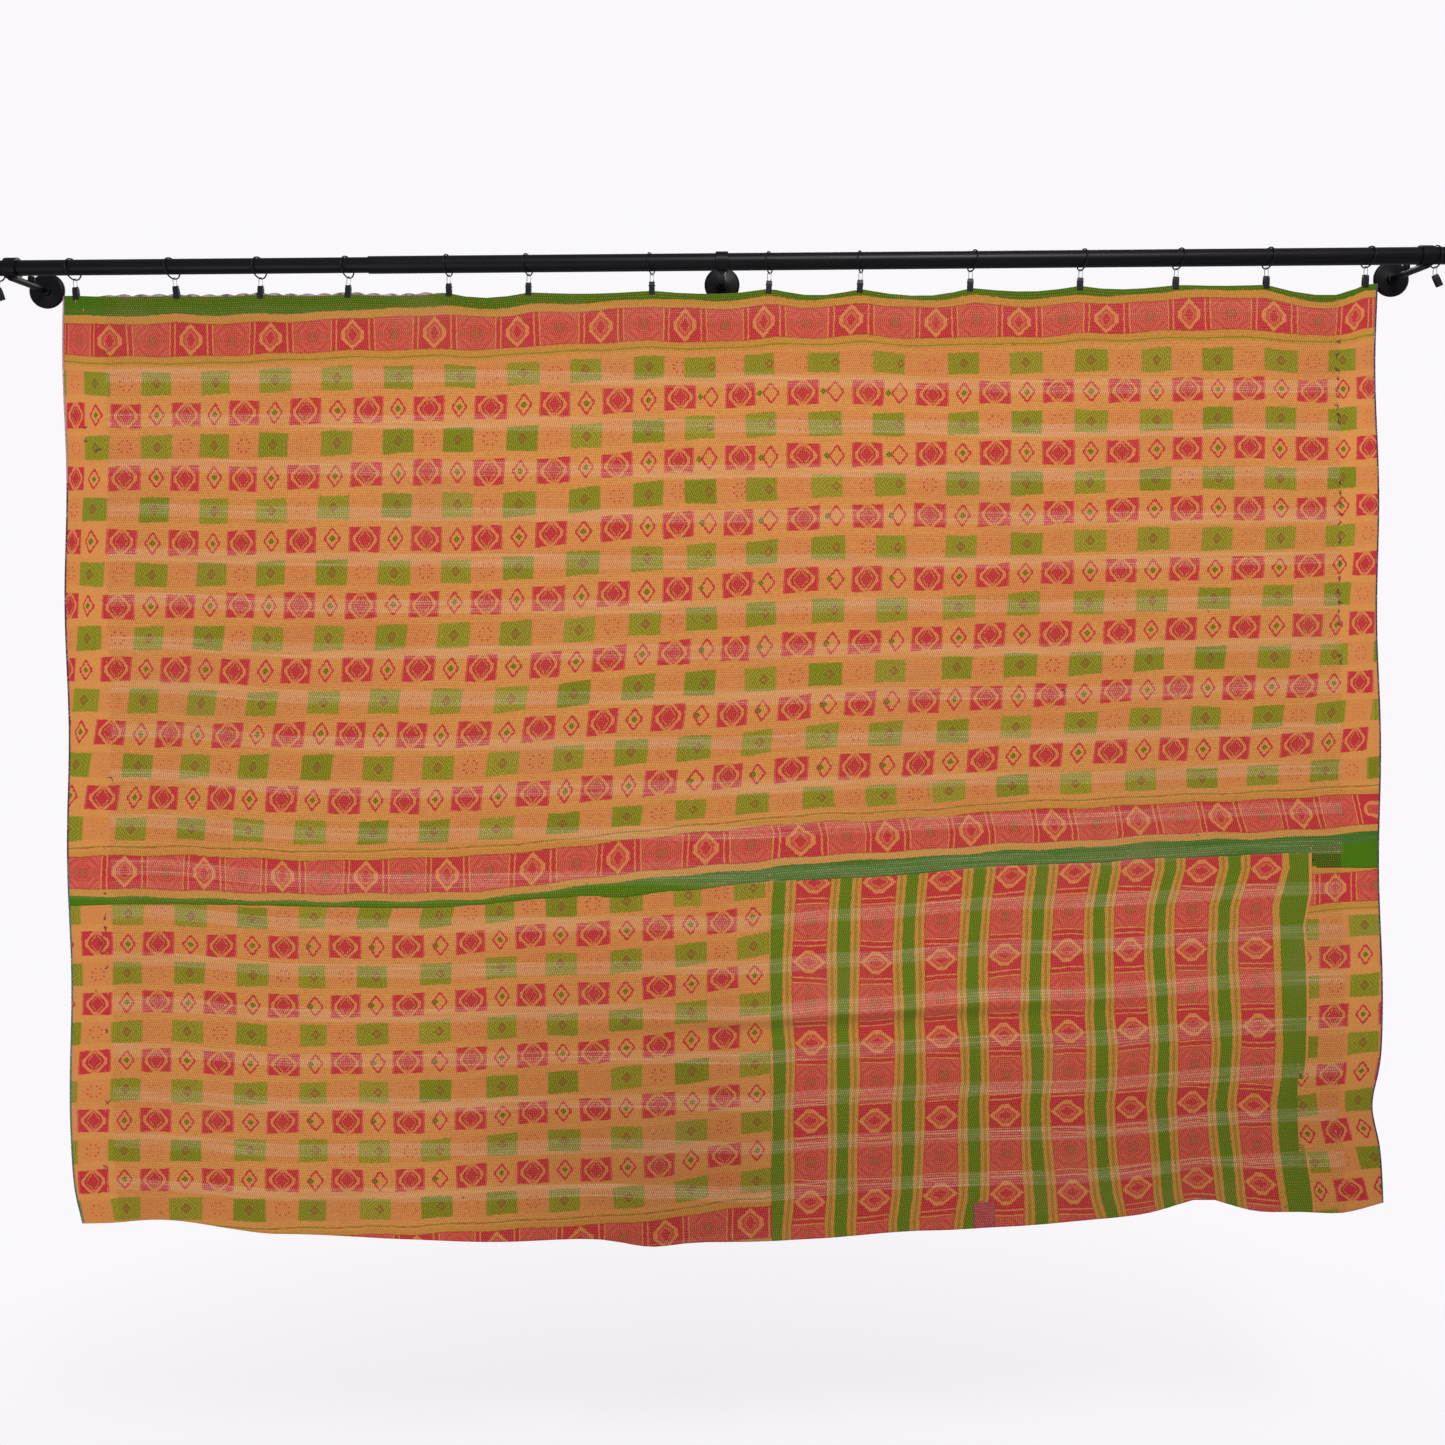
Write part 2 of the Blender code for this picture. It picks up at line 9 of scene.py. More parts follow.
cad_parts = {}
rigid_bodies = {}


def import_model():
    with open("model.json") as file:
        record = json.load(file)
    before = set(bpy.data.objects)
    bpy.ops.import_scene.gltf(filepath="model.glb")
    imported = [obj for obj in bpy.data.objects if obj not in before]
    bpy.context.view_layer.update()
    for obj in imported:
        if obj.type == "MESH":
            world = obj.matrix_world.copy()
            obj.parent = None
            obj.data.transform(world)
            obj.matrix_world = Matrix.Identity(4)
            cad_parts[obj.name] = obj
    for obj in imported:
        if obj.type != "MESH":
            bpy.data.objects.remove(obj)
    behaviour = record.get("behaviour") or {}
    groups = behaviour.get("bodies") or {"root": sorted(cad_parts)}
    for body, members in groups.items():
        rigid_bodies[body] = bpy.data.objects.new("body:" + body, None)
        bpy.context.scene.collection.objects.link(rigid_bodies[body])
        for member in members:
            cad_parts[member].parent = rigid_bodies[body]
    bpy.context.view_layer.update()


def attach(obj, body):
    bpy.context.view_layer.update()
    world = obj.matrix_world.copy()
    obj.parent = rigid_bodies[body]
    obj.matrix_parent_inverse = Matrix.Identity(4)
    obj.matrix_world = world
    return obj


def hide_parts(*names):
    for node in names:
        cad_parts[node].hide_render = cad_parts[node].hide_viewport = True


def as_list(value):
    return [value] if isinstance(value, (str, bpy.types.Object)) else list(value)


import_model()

scene = bpy.context.scene
random = np.random.default_rng(41)
print("frame loaded")

# Camera, as the photograph was taken: level, square to the wall, framed low with shift
view = {"frame": 1445, "focalPixels": 1344.0, "horizonRow": 542.0, "roll": -0.5, "sensor": 36.0,
        "place": (-0.003, -2.263, -0.432)}


def turned(degrees, axis):
    return Matrix.Rotation(math.radians(degrees), 4, axis)


def makeCamera():
    data = bpy.data.cameras.new("roomCamera")
    data.sensor_width, data.lens = view["sensor"], view["focalPixels"] / view["frame"] * view["sensor"]
    data.shift_y = (view["horizonRow"] - view["frame"] / 2) / view["frame"]
    data.dof.use_dof = False
    camera = bpy.data.objects.new("roomCamera", data)
    scene.collection.objects.link(camera)
    camera.matrix_world = Matrix.Translation(view["place"]) @ (turned(90, "X") @ turned(view["roll"], "Z"))
    scene.camera = camera


makeCamera()


# Shader wiring: a wire takes part in sums, a bench makes the nodes
class Wire:
    def __init__(self, bench, socket):
        self.bench, self.socket = bench, socket

    def maths(self, operation, *others, **settings):
        return self.bench.node("ShaderNodeMath", {"operation": operation, **settings}, (self,) + others)

    def __add__(self, other): return self.maths("ADD", other)
    def __radd__(self, other): return self.maths("ADD", other)
    def __mul__(self, other): return self.maths("MULTIPLY", other)
    def __rmul__(self, other): return self.maths("MULTIPLY", other)
    def __sub__(self, other): return self.maths("SUBTRACT", other)
    def __rsub__(self, other): return self.bench.node("ShaderNodeMath", {"operation": "SUBTRACT"}, (other, self))
    def __truediv__(self, other): return self.maths("DIVIDE", other)
    def __rtruediv__(self, other): return self.bench.node("ShaderNodeMath", {"operation": "DIVIDE"}, (other, self))
    def __mod__(self, other): return self.maths("FLOORED_MODULO", other)
    def __abs__(self): return self.maths("ABSOLUTE")
    def __lt__(self, other): return self.maths("LESS_THAN", other)
    def __gt__(self, other): return self.maths("GREATER_THAN", other)
    def floor(self): return self.maths("FLOOR")
    def most(self, other): return self.maths("MAXIMUM", other)
    def clamped(self): return self.maths("ADD", 0.0, use_clamp=True)


class Bench:
    def __init__(self, name):
        self.material = bpy.data.materials.new(name)
        self.material.use_nodes = True
        self.tree = self.material.node_tree
        self.shader = self.tree.nodes["Principled BSDF"]

    def feed(self, socket, value):
        if isinstance(value, Wire):
            self.tree.links.new(value.socket, socket)
        else:
            socket.default_value = value

    def node(self, kind, settings=None, sockets=(), out=0):
        made = self.tree.nodes.new(kind)
        for key, value in (settings or {}).items():
            setattr(made, key, value)
        for key, value in sockets.items() if isinstance(sockets, dict) else enumerate(sockets):
            self.feed(made.inputs[key], value)
        return Wire(self, made.outputs[out])

    def mix(self, amount, first, second, blend="MIX"):
        sockets = {0: amount, 6: first, 7: second}    # a colour mix has its own sockets, past those for values
        return self.node("ShaderNodeMix", {"data_type": "RGBA", "blend_type": blend}, sockets, 2)

    def coats(self, colour, inks, *rows):    # inks, or other colours, laid over one another by their amounts
        for amount, coat, *blend in rows:
            colour = self.mix(amount, colour, inks[coat] if isinstance(coat, str) else coat, *blend)
        return colour

    def uv(self, name):
        place = self.node("ShaderNodeUVMap", {"uv_map": name})
        return [self.node("ShaderNodeSeparateXYZ", None, (place,), axis) for axis in (0, 1)]

    def sewn(self):    # x along the rows, and the number of the row
        x, rows = self.uv("sewn")
        return x, rows * 100

    def joined(self, x, y):
        return self.node("ShaderNodeCombineXYZ", None, (x, y))

    def noise(self, place, scale, detail=2.0):    # place: a wire, or an x and a y
        place = self.joined(*place) if isinstance(place, tuple) else place
        return self.node("ShaderNodeTexNoise", None, {"Vector": place, "Scale": scale, "Detail": detail})

    def solid(self, colour, roughness, specular=0.5, metallic=0.0):
        for key, value in (("Base Color", colour), ("Roughness", roughness), ("Specular IOR Level", specular),
                           ("Metallic", metallic)):
            self.feed(self.shader.inputs[key], value)

    def bump(self, height, distance, strength):
        normal = self.node("ShaderNodeBump", None, {"Strength": strength, "Distance": distance, "Height": height})
        self.feed(self.shader.inputs["Normal"], normal)


def ink(red, green, blue):    # a screen colour, 0 to 255, as light
    def light(part):
        part /= 255
        return part / 12.92 if part <= 0.04045 else ((part + 0.055) / 1.055) ** 2.4
    return (light(red), light(green), light(blue), 1.0)


def within(value, half, soft=0.0012):    # 1 where a value lies nearer than half to 0
    return ((half - abs(value)) / soft + 0.5).clamped()


def above(value, edge, soft=0.0012):
    return ((value - edge) / soft + 0.5).clamped()


def below(value, edge, soft=0.0012):
    return above(0 - value, -edge, soft)


def between(value, low, high, soft=0.0012):
    return above(value, low, soft) * below(value, high, soft)


def repeat(value, pitch):    # distance from the nearest repeat's middle
    return ((value / pitch + 0.5) % 1 - 0.5) * pitch


# How the quilt hangs: the solids' own sizes, in metres from the middle flange
hang = {
    "rodY": -0.113, "rodZ": 0.016, "wide": 0.014, "narrow": 0.0125, "stepX": -0.565, "cloth": 0.003,
    "leftEdge": -1.052, "rightEdge": 1.045, "hem": -1.545, "sideRise": 0.020,
    # x, ring yaw, ring lean, clip tilt, edge below the rod, sag, bow and lowest part of the next span
    "clips": [(-1.035, 16, 12, -4, 0.045, 0.002, 0.002, 0.5), (-0.876, 19, 14, -8, 0.047, 0.002, -0.002, 0.5),
              (-0.738, 21, 8, 0, 0.046, 0.003, 0.003, 0.5), (-0.597, 20, 8, 3, 0.047, 0.003, -0.003, 0.5),
              (-0.437, 14, 5, 0, 0.046, 0.009, 0.005, 0.45), (-0.309, 18, 6, 2, 0.046, 0.003, -0.002, 0.5),
              (-0.112, 16, 5, 1, 0.045, 0.008, 0.006, 0.55), (0.076, 19, 0, 3, 0.043, 0.010, -0.004, 0.5),
              (0.222, 19, 1, 4, 0.045, 0.013, 0.006, 0.55), (0.398, -16, -10, 3, 0.045, 0.007, -0.003, 0.55),
              (0.574, -12, -9, 4, 0.043, 0.007, 0.004, 0.4), (0.727, -13, -12, 4, 0.043, 0.001, -0.003, 0.6),
              (0.871, -10, -10, 2, 0.044, 0.019, 0.006, 0.6), (1.030, -11, -14, 3, 0.044, 0.0, 0.0, 0.5)],
    # x, ring yaw, ring lean, clip tilt, bend of the clip against its loop
    "spares": {"spare_left": (-1.158, 14, 6, 3, -22), "spare_right": (1.141, -5, -3, 6, -30)},
    "seam": [(-1.06, -1.008), (-0.92, -1.010), (-0.50, -1.019), (-0.14, -0.997), (0.09, -0.975), (0.63, -0.952),
        (1.06, -0.964)],
    "hemWaves": [(-0.90, 0.015, 0.08), (-0.13, -0.012, 0.06), (0.60, 0.008, 0.15), (0.755, 0.031, 0.08),
        (1.06, 0.014, 0.05)],
    "bandStart": [(-0.92, -0.153), (-0.68, -0.155), (-0.45, -0.158), (0.03, -0.170), (0.19, -0.173), (0.51, -0.184),
        (0.92, -0.188)],
    "bandPitch": [(-0.92, 0.0720), (-0.68, 0.0728), (-0.45, 0.0726), (0.03, 0.0721), (0.19, 0.0714), (0.51, 0.0702),
        (0.92, 0.0685)],
    "bandRise": [(0.03, 0.0), (0.19, 0.005), (0.45, 0.018), (0.92, 0.020)],
    "seamTrim": [(-1.05, 0.002), (-0.96, 0.005), (-0.60, 0.007), (-0.32, 0.005), (-0.24, 0.002), (-0.17, -0.004),
        (-0.10, 0.003), (-0.03, 0.0), (0.30, 0.001), (0.39, 0.004), (0.60, 0.002), (0.65, 0.007), (0.72, 0.010),
        (0.79, 0.014), (0.85, 0.019), (0.90, 0.022), (0.934, 0.022), (0.943, 0.0), (1.06, 0.0)],
    # slow waves: height, length, phase, growth, start
    "slow": [(0.0040, 0.676, 0.6, 1, 0.45), (0.0032, 1.232, -1.1, 1, 0.45), (0.0050, 0.433, 0.9, 4, 0.0)],
    # creases: x, z, half length, half width, angle, height
    "creases": [(-0.07, -0.23, 0.13, 0.020, 118, 0.0035), (-0.03, -0.15, 0.10, 0.025, 75, -0.0030),
        (0.24, -1.182, 0.42, 0.013, 3, 0.0052), (0.22, -1.209, 0.38, 0.017, 2.5, -0.0044),
        (-0.62, -0.52, 0.22, 0.030, 24, 0.0025), (0.70, -0.60, 0.26, 0.035, 152, -0.0028),
        (0.76, -1.46, 0.13, 0.045, 95, -0.0060), (-0.90, -1.44, 0.12, 0.050, 84, 0.0050),
        (-0.13, -1.47, 0.10, 0.040, 92, 0.0045)],
    "blockSeam": 0.066, "stripSeam": 0.935,
    "hemTrim": [(-1.05, 0.008), (-0.90, 0.008), (-0.81, 0.010), (-0.72, 0.005), (-0.52, -0.001), (-0.33, -0.005),
        (-0.05, -0.006), (0.14, -0.001), (0.33, 0.005), (0.43, 0.009), (0.62, 0.011), (0.71, 0.008), (0.80, 0.011),
        (0.90, 0.020), (0.99, 0.012), (1.05, 0.010)],
}
clipX, clipEdge, spanSag, spanBow, spanLow = np.array(hang["clips"]).T[[0, 4, 5, 6, 7]]


def hump(value, middle, width):
    return np.exp(-((value - middle) / width) ** 2)


def eased(table, x):    # smooth steps through (x, value) rows
    px, pv = np.array(table).T
    i = np.clip(np.searchsorted(px, x) - 1, 0, len(px) - 2)
    t = np.clip((x - px[i]) / (px[i + 1] - px[i]), 0, 1)
    return pv[i] + (pv[i + 1] - pv[i]) * t * t * (3 - 2 * t)


def span(x):
    i = np.clip(np.searchsorted(clipX, x) - 1, 0, len(clipX) - 2)
    return i, np.clip((x - clipX[i]) / (clipX[i + 1] - clipX[i]), 0, 1)


def clipLine(x):    # the cloth's top as if it didn't sag
    i, t = span(x)
    return hang["rodZ"] - clipEdge[i] - (clipEdge[i + 1] - clipEdge[i]) * t


def sagOf(x):
    i, t = span(x)
    low = spanLow[i]
    half = np.where(t < low, 0.5 * t / low, 0.5 + 0.5 * (t - low) / (1 - low))
    return spanSag[i] * np.sin(np.pi * half)


def topZ(x):
    return clipLine(x) - sagOf(x)


def seamZ(x):
    return eased(hang["seam"], x)


def sewnSeamZ(x):    # where the seam shows on the front
    return seamZ(x) + eased(hang["seamTrim"], x)


def hemZ(x):
    waves = sum(rise * hump(x, middle, width) for middle, rise, width in hang["hemWaves"])
    return hang["hem"] + hang["sideRise"] * (x / hang["rightEdge"]) ** 2 + waves + eased(hang["hemTrim"], x)


def bandZ(row, x):
    sag = 0.008 * hump(x, -0.45, 0.40) * np.sin(np.pi * np.clip(row / 18, 0, 1))
    rise = eased(hang["bandRise"], x) * hump(row, 12.4, 3) + 0.010 * hump(x, -0.95, 0.2) * hump(row, 9, 4)
    return eased(hang["bandStart"], x) - row * eased(hang["bandPitch"], x) - sag + rise


def edgeShift(x, z):
    left = 0.0024 * np.sin(2 * np.pi * z / 0.40 + 0.4) + 0.016 * hump(z, hang["hem"], 0.06)
    right = 0.0024 * np.sin(2 * np.pi * z / 0.40 + 1.0) - 0.013 * hump(z, -1.345, 0.05)
    return left * hump(x, hang["leftEdge"], 0.10) + right * hump(x, hang["rightEdge"], 0.10)


def frontOf(x, z):    # how far the middle of the cloth stands before the clips' plane
    depth = np.maximum(topZ(x) - z, 0)
    low = depth / (topZ(x) - hang["hem"])
    i, t = span(x)
    bow = spanBow[i] * np.sin(np.pi * t) ** 2 * np.exp(-depth / 0.15)
    rest = 0
    for height, length, phase, growth, start in hang["slow"]:
        rest = rest + height * np.sin(2 * np.pi * x / length + phase) * (start + (1 - start) * low ** growth)
    for cx, cz, length, width, angle, height in hang["creases"]:
        cosine, sine = math.cos(math.radians(angle)), math.sin(math.radians(angle))
        along, across = (x - cx) * cosine + (z - cz) * sine, (z - cz) * cosine - (x - cx) * sine
        rest = rest + height * hump(along, 0, length) * hump(across, 0, width)
    return bow + rest * (1 - np.exp(-(depth / 0.09) ** 2))


# Stitching: rows of running stitch, counted from the top edge
sew = {"topRows": 34, "perBand": 18, "hemRows": 20, "bands": 18, "linesPerRow": 2, "ridge": 0.00030,
       "columns": 0.0178, "roll": 0.0030, "rowPitch": 0.0041, "tuck": 0.012, "weld": 0.00002,
       "edgeSteps": [0.0004, 0.0012, 0.0026], "lipRows": [0, 0.06, 0.14],
       "margin": (-0.986, 0.985), "whiteRows": (31, 370)}
lastRow = sew["topRows"] + sew["perBand"] * sew["bands"] + sew["hemRows"]


def rowZ(row, x):    # height of a stitch row at x
    band = (row - sew["topRows"]) / sew["perBand"]
    top = topZ(x) + (bandZ(0, x) - topZ(x)) * row / sew["topRows"]
    last = bandZ(sew["bands"], x)
    hem = last + (hemZ(x) - last) * (band - sew["bands"]) * sew["perBand"] / sew["hemRows"]
    return np.where(band < 0, top, np.where(band > sew["bands"], hem, bandZ(band, x)))


def ripple(x, row):    # soft puffs between the rows, uneven along them
    uneven = 0.75 + 0.35 * np.sin(x * 61 + row * 1.7) * np.sin(x * 23 - row * 0.9) + 0.15 * np.sin(x * 140 + row * 2.3)
    return -np.cos(2 * np.pi * row) * uneven


def putMesh(name, verts, faces, maps=None):
    mesh = bpy.data.meshes.new(name)
    mesh.from_pydata(verts, [], faces)
    corner = np.empty(len(mesh.loops), dtype=np.int64)
    mesh.loops.foreach_get("vertex_index", corner)
    for key, values in (maps or {}).items():
        layer = mesh.uv_layers.new(name=key)
        layer.data.foreach_set("uv", np.asarray(values, dtype=np.float32)[corner].ravel())
    piece = bpy.data.objects.new(name, mesh)
    scene.collection.objects.link(piece)
    mesh.shade_smooth()
    return piece


def tidyMesh(piece):
    net = bmesh.new()
    net.from_mesh(piece.data)
    bmesh.ops.remove_doubles(net, verts=net.verts, dist=sew["weld"])
    bmesh.ops.dissolve_degenerate(net, edges=net.edges, dist=sew["weld"])
    bmesh.ops.delete(net, geom=[vert for vert in net.verts if not vert.link_faces], context="VERTS")
    net.to_mesh(piece.data)
    net.free()
    piece.data.shade_smooth()


def placed(piece, material, node=None):    # node: the solid that it stands for
    piece.data.materials.append(material)
    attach(piece, "root")
    if node:
        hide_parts(node)


def columnsOf(cut):
    left, right = cut["left"], cut["right"]
    count = max(4, round((right - left) / cut.get("columns", sew["columns"])))
    places = list(np.linspace(left, right, count + 1)) + list(cut.get("extra", ()))
    for side, edge, inward in (("left", left, 1), ("right", right, -1)):
        if side in cut["rolls"]:
            places += [edge + inward * step for step in sew["edgeSteps"]]
    return np.array(sorted(places))


def rolled(distance):    # thickness of a turned edge, from 0 at its lip to 1
    reach = np.clip(distance / sew["roll"], 0, 1)
    return np.sqrt(np.maximum(1 - (1 - reach) ** 2, 0))


def measured(value, *place):    # a cut's number, or its function of the place
    return value(*place) if callable(value) else value


def makeSheet(name, cut, printMap):
    step, lip = 1 / cut.get("lines", sew["linesPerRow"]), np.array(sew["lipRows"])
    rows = np.arange(cut["firstRow"], cut["lastRow"] + step / 2, step)
    if cut["firstRow"] == 0:
        rows = np.concatenate((lip, rows[1:]))
    if cut["lastRow"] == lastRow:
        rows = np.concatenate((rows[:-1], lastRow - lip[::-1]))
    gridX, gridRow = np.meshgrid(columnsOf(cut), rows)
    low, high = cut.get("low", hemZ)(gridX), cut.get("high", topZ)(gridX)
    z = np.clip(rowZ(gridRow, gridX), low, high)
    for _ in range(3):    # a row cut off by the outline counts as the row that lies there
        gridRow = gridRow + (rowZ(gridRow, gridX) - z) / sew["rowPitch"]
    inside = {"left": gridX - cut["left"], "right": cut["right"] - gridX, "top": high - z, "bottom": z - low}
    lift = np.ones_like(z)
    for side in cut["rolls"]:
        lift *= rolled(inside[side])
    away = (hang["cloth"] / 2 + measured(cut.get("raise", 0), gridX, z)) * lift
    away = away + sew["ridge"] * ripple(gridX, gridRow) * lift
    side = cut.get("side", 1)
    shift = edgeShift(gridX, z) + measured(cut.get("wander", 0), gridX, z)
    lifted = z + measured(cut.get("lip", 0), gridX, gridRow)
    verts = np.stack((gridX + shift, hang["rodY"] - (frontOf(gridX, z) + side * away), lifted), -1)
    index = np.arange(z.size).reshape(z.shape)
    corners = (index[1:, :-1], index[1:, 1:], index[:-1, 1:], index[:-1, :-1])
    faces = np.stack(corners if side > 0 else corners[::-1], -1).reshape(-1, 4)
    maps = {"print": np.stack(printMap(gridX, z), -1).reshape(-1, 2),
            "sewn": np.stack((gridX, gridRow * 0.01), -1).reshape(-1, 2)}
    piece = putMesh(name, verts.reshape(-1, 3).tolist(), faces.tolist(), maps)
    tidyMesh(piece)
    return piece


def makeCloth(name, cut, printMap, material, flat, restsOn, node=None):    # flat: how large it was cut, not used
    piece = makeSheet(name, cut, printMap)
    placed(piece, material, node)
    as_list(restsOn)
    print("cloth", name, len(piece.data.polygons))


# Printed cotton: one long cloth, its print drawn in metres from the top red band
cotton = {
    "ground": ink(217, 148, 79), "redGround": ink(211, 126, 73), "gold": ink(202, 144, 62),
    "marginGold": ink(224, 150, 80), "leaf": ink(66, 120, 8), "leafDark": ink(56, 88, 10), "teal": ink(34, 108, 18),
    "block": ink(117, 134, 22), "blockDark": ink(96, 112, 10), "blockLight": ink(164, 160, 44),
    "red": ink(197, 50, 60), "redDark": ink(160, 28, 42), "pinkLine": ink(226, 124, 92), "goldLine": ink(226, 152, 84),
    "olive": ink(150, 118, 60), "brown": ink(148, 78, 40), "edge": ink(150, 40, 36),
    # stain, speck and soil are marks on the cloth; the grey after stain is multiplied in as painted shade low down, and
    # darkens the top rows
    "stain": ink(150, 110, 60), "shadeAndWear": ink(196, 188, 186), "speck": ink(96, 70, 50), "soil": ink(172, 134, 98),
    "thread": 0.0016, "columnPitch": 0.100, "rowPitch": 0.1014, "firstGreen": 0.100, "firstRed": 0.1507,
    "blockHalf": (0.0248, 0.0190), "squareHalf": (0.0250, 0.0196), "bandHalf": 0.0265, "bandRepeat": 0.133,
    # a faint flower's petals: x, half width, height, half height, strength
    "petals": [(0.0044, 0.0015, 0.0090, 0.0017, 1.0), (0.0094, 0.0018, 0.0040, 0.0014, 1.0),
               (0.0034, 0.0009, 0.0030, 0.0009, 0.7)],
    # a motif's outlines, in woven steps from its middle: distance and half width
    "bigDiamond": (8.4, 1.9), "smallDiamond": (7.0, 1.3), "bandRing": (4.6, 1.1), "blockRing": (3.0, 1.1),
    "octagon": (10.3, 1.6), "innerDiamond": (8.4, 1.05), "openDiamond": (9.3, 1.55),
    "bandSquare": 0.0285, "bars": [0.0272, 0.0360], "barHalf": 0.0011, "pinkLineX": 0.0235,
    # down the long cloth: gold beside the red bands, green lines, the bands' start and middle, green borders
    "goldGrounds": [(-0.034, 0.071), (0.846, 1.2)], "greenLines": [0.0656, 0.8405], "field": (0.071, 0.842),
    "bands": [(0.073, 0.0265), (0.006, 0.8815)], "bandReach": 0.04, "leaves": [(-0.2, -0.0135), (0.920, 1.06)],
    "corner": (0.9365, 0.938), "lineHalf": 0.0013,
    # where the green lies aside of the red, and how far: less and less between two rows, and less again low down
    "overprint": (-0.080, 0.325), "overprintLow": (-0.675, -0.42), "lowFrom": (246, 6),
    "aside": 0.018, "asideFall": 0.012, "asideRows": (40, 158), "asideLow": 0.007,
    # across the turned block: stripes, and the selvage with its gold edge
    "stripePitch": 0.104, "stripeHalf": 0.0100, "stripeGold": 0.0245, "stripeDots": (0.0175, 0.0021),
    "selvage": 0.8187, "selvageEdge": 0.9302,
}


def cells(value, size=cotton["thread"]):    # whole woven steps from a motif's middle
    return (abs(value) / size).floor()


def dots(qx, qy):    # every other step
    return (qx + qy) % 2


def outline(steps, name):    # 1 on a motif's outline
    middle, half = cotton[name]
    return abs(steps - middle) < half


def bandPrint(bench, colour, along, across, mask):
    half, pitch = cotton["bandHalf"], cotton["bandRepeat"]
    inBand = mask * within(across, half)
    first, second = repeat(along, pitch), repeat(along - pitch / 2, pitch)
    ax, bx, y = cells(first), cells(second), cells(across)
    # nested squares of fine lines round a green heart, with a comb on each side
    inSecond = inBand * within(second, cotton["bandSquare"])
    rings = (bx.most(y)).most((bx + y) * 0.72).floor()
    lines = inSecond * (rings % 2 < 1) * (rings > 4)
    comb = inSecond * (y < 1.5) * (bx > 7) * (bx % 2 < 1)
    heart = bx * 1.15 + y
    # a braided diamond with blunt tips, and two bars on each side
    big = (ax - 1).most(0) * 0.98 + (y - 2.5).most(0) * 0.86
    small = ax * 1.3 + y
    bars = sum(within(abs(first) - place, cotton["barHalf"]) for place in cotton["bars"])
    return bench.coats(
        colour, cotton, (inBand, "red"), (inSecond * 0.10, "pinkLine"),
        (lines * (0.34 + 0.40 * dots(bx, y)), "pinkLine"),
        (comb * 0.40 + inSecond * outline(heart, "bandRing") * 0.65, "olive"),
        (inSecond * (heart < 2.2) * 0.6, "olive"),
        (inBand * (big < 6.5) * (0.10 + 0.34 * dots(ax, y)), "pinkLine"),
        (inBand * outline(big, "bigDiamond") * (0.96 - 0.34 * dots(ax, y)), "goldLine"),
        (inBand * outline(small, "smallDiamond") * dots(ax, y) * 0.6, "goldLine"), (inBand * (small < 5.4), "red"),
        (inBand * (ax < 0.5) * (y > 13.5) * 0.7, "goldLine"), (inBand * bars.clamped() * 0.85, "goldLine"),
        (mask * within(abs(across) - half, 0.0008) * 0.6, "edge"))


def fieldPrint(bench, colour, u, uGreen, v, mask):
    c = cotton
    pitch, rise, (wide, tall) = c["columnPitch"], c["rowPitch"], c["blockHalf"]
    greenX, greenY = repeat(uGreen, pitch), repeat(v - c["firstGreen"], rise)
    redX, redY = repeat(u - pitch / 2, pitch), repeat(v - c["firstRed"], rise)
    openX = repeat(u, pitch)
    gx, gy, rx, ry, ox = cells(greenX), cells(greenY), cells(redX), cells(redY), cells(openX)
    # faint flowers on a warmer square between the green blocks
    inRow = mask * within(greenY, tall, 0.002)
    greenRow = ((v - c["firstGreen"]) / rise + 0.5).floor()
    faint = bench.noise(((u / pitch).floor() * 2.3, greenRow * 1.7), 1.0, 0.0)
    petals = sum(within(abs(redX) - x, halfX) * within(abs(greenY) - y, halfY) * strength
                 for x, halfX, y, halfY, strength in c["petals"]).clamped() * ((faint - 0.25) * 2.4).clamped()
    # green blocks: bordered at the sides, with fine stepped diamonds round a red ring
    block = inRow * within(greenX, wide, 0.002)
    tint = bench.noise(((uGreen / pitch + 0.5).floor() * 1.9, greenRow * 2.7), 1.0, 0.0)
    green = bench.mix(((tint - 0.3) * 2.4).clamped() * 0.6, c["block"], c["blockLight"])
    side = 15 - gx
    diamonds = side > 3.5
    steps = ((gx + gy) % 4 < 2) * diamonds + (side % 2 < 1) * (1 - diamonds)
    ring = ox * 1.1 + gy
    # red squares: solid corners, a dotted octagon, a stepped diamond and a solid heart
    square = mask * within(redX, c["squareHalf"][0]) * within(redY, c["squareHalf"][1])
    octagon = rx + (ry - 1).most(0) * 0.84
    inner = rx * 1.42 + ry
    tips = square * (rx < 1.5) * (ry > 8) * dots(rx, ry)
    lines = square * outline(octagon, "octagon") + square * outline(inner, "innerDiamond") * 0.7 + tips
    # open diamonds with a green heart
    openDiamond = ox * 1.40 + ry
    heart = abs(greenX) * 1.1 + abs(redY)
    return bench.coats(
        colour, c, (inRow * above(abs(greenX), wide) * 0.4, "redGround"), (mask * petals * 0.9, "red"),
        (block * (1.04 - tint * 0.30), green), (block * steps.clamped() * (0.30 + 0.34 * dots(gx, gy)), "blockDark"),
        (block * (1 - steps).clamped() * (0.14 + tint * 0.4), "blockLight"),
        (block * outline(ring, "blockRing") * 0.8, "brown"), (square, "red"),
        (square * (octagon < 10) * (0.15 + 0.40 * dots(rx, ry)), "redDark"),
        (lines.clamped() * (0.54 + 0.38 * dots(rx, ry)), "goldLine"), (square * (inner < 6) * 0.9, "red"),
        (square * within(abs(redX) - c["pinkLineX"], 0.0007) * 0.45, "pinkLine"),
        (mask * outline(openDiamond, "openDiamond") * within(openX, 0.016), "red"),
        (mask * within(heart, 0.0056), "blockDark"), (mask * within(heart, 0.0016) * 0.5, "gold"))


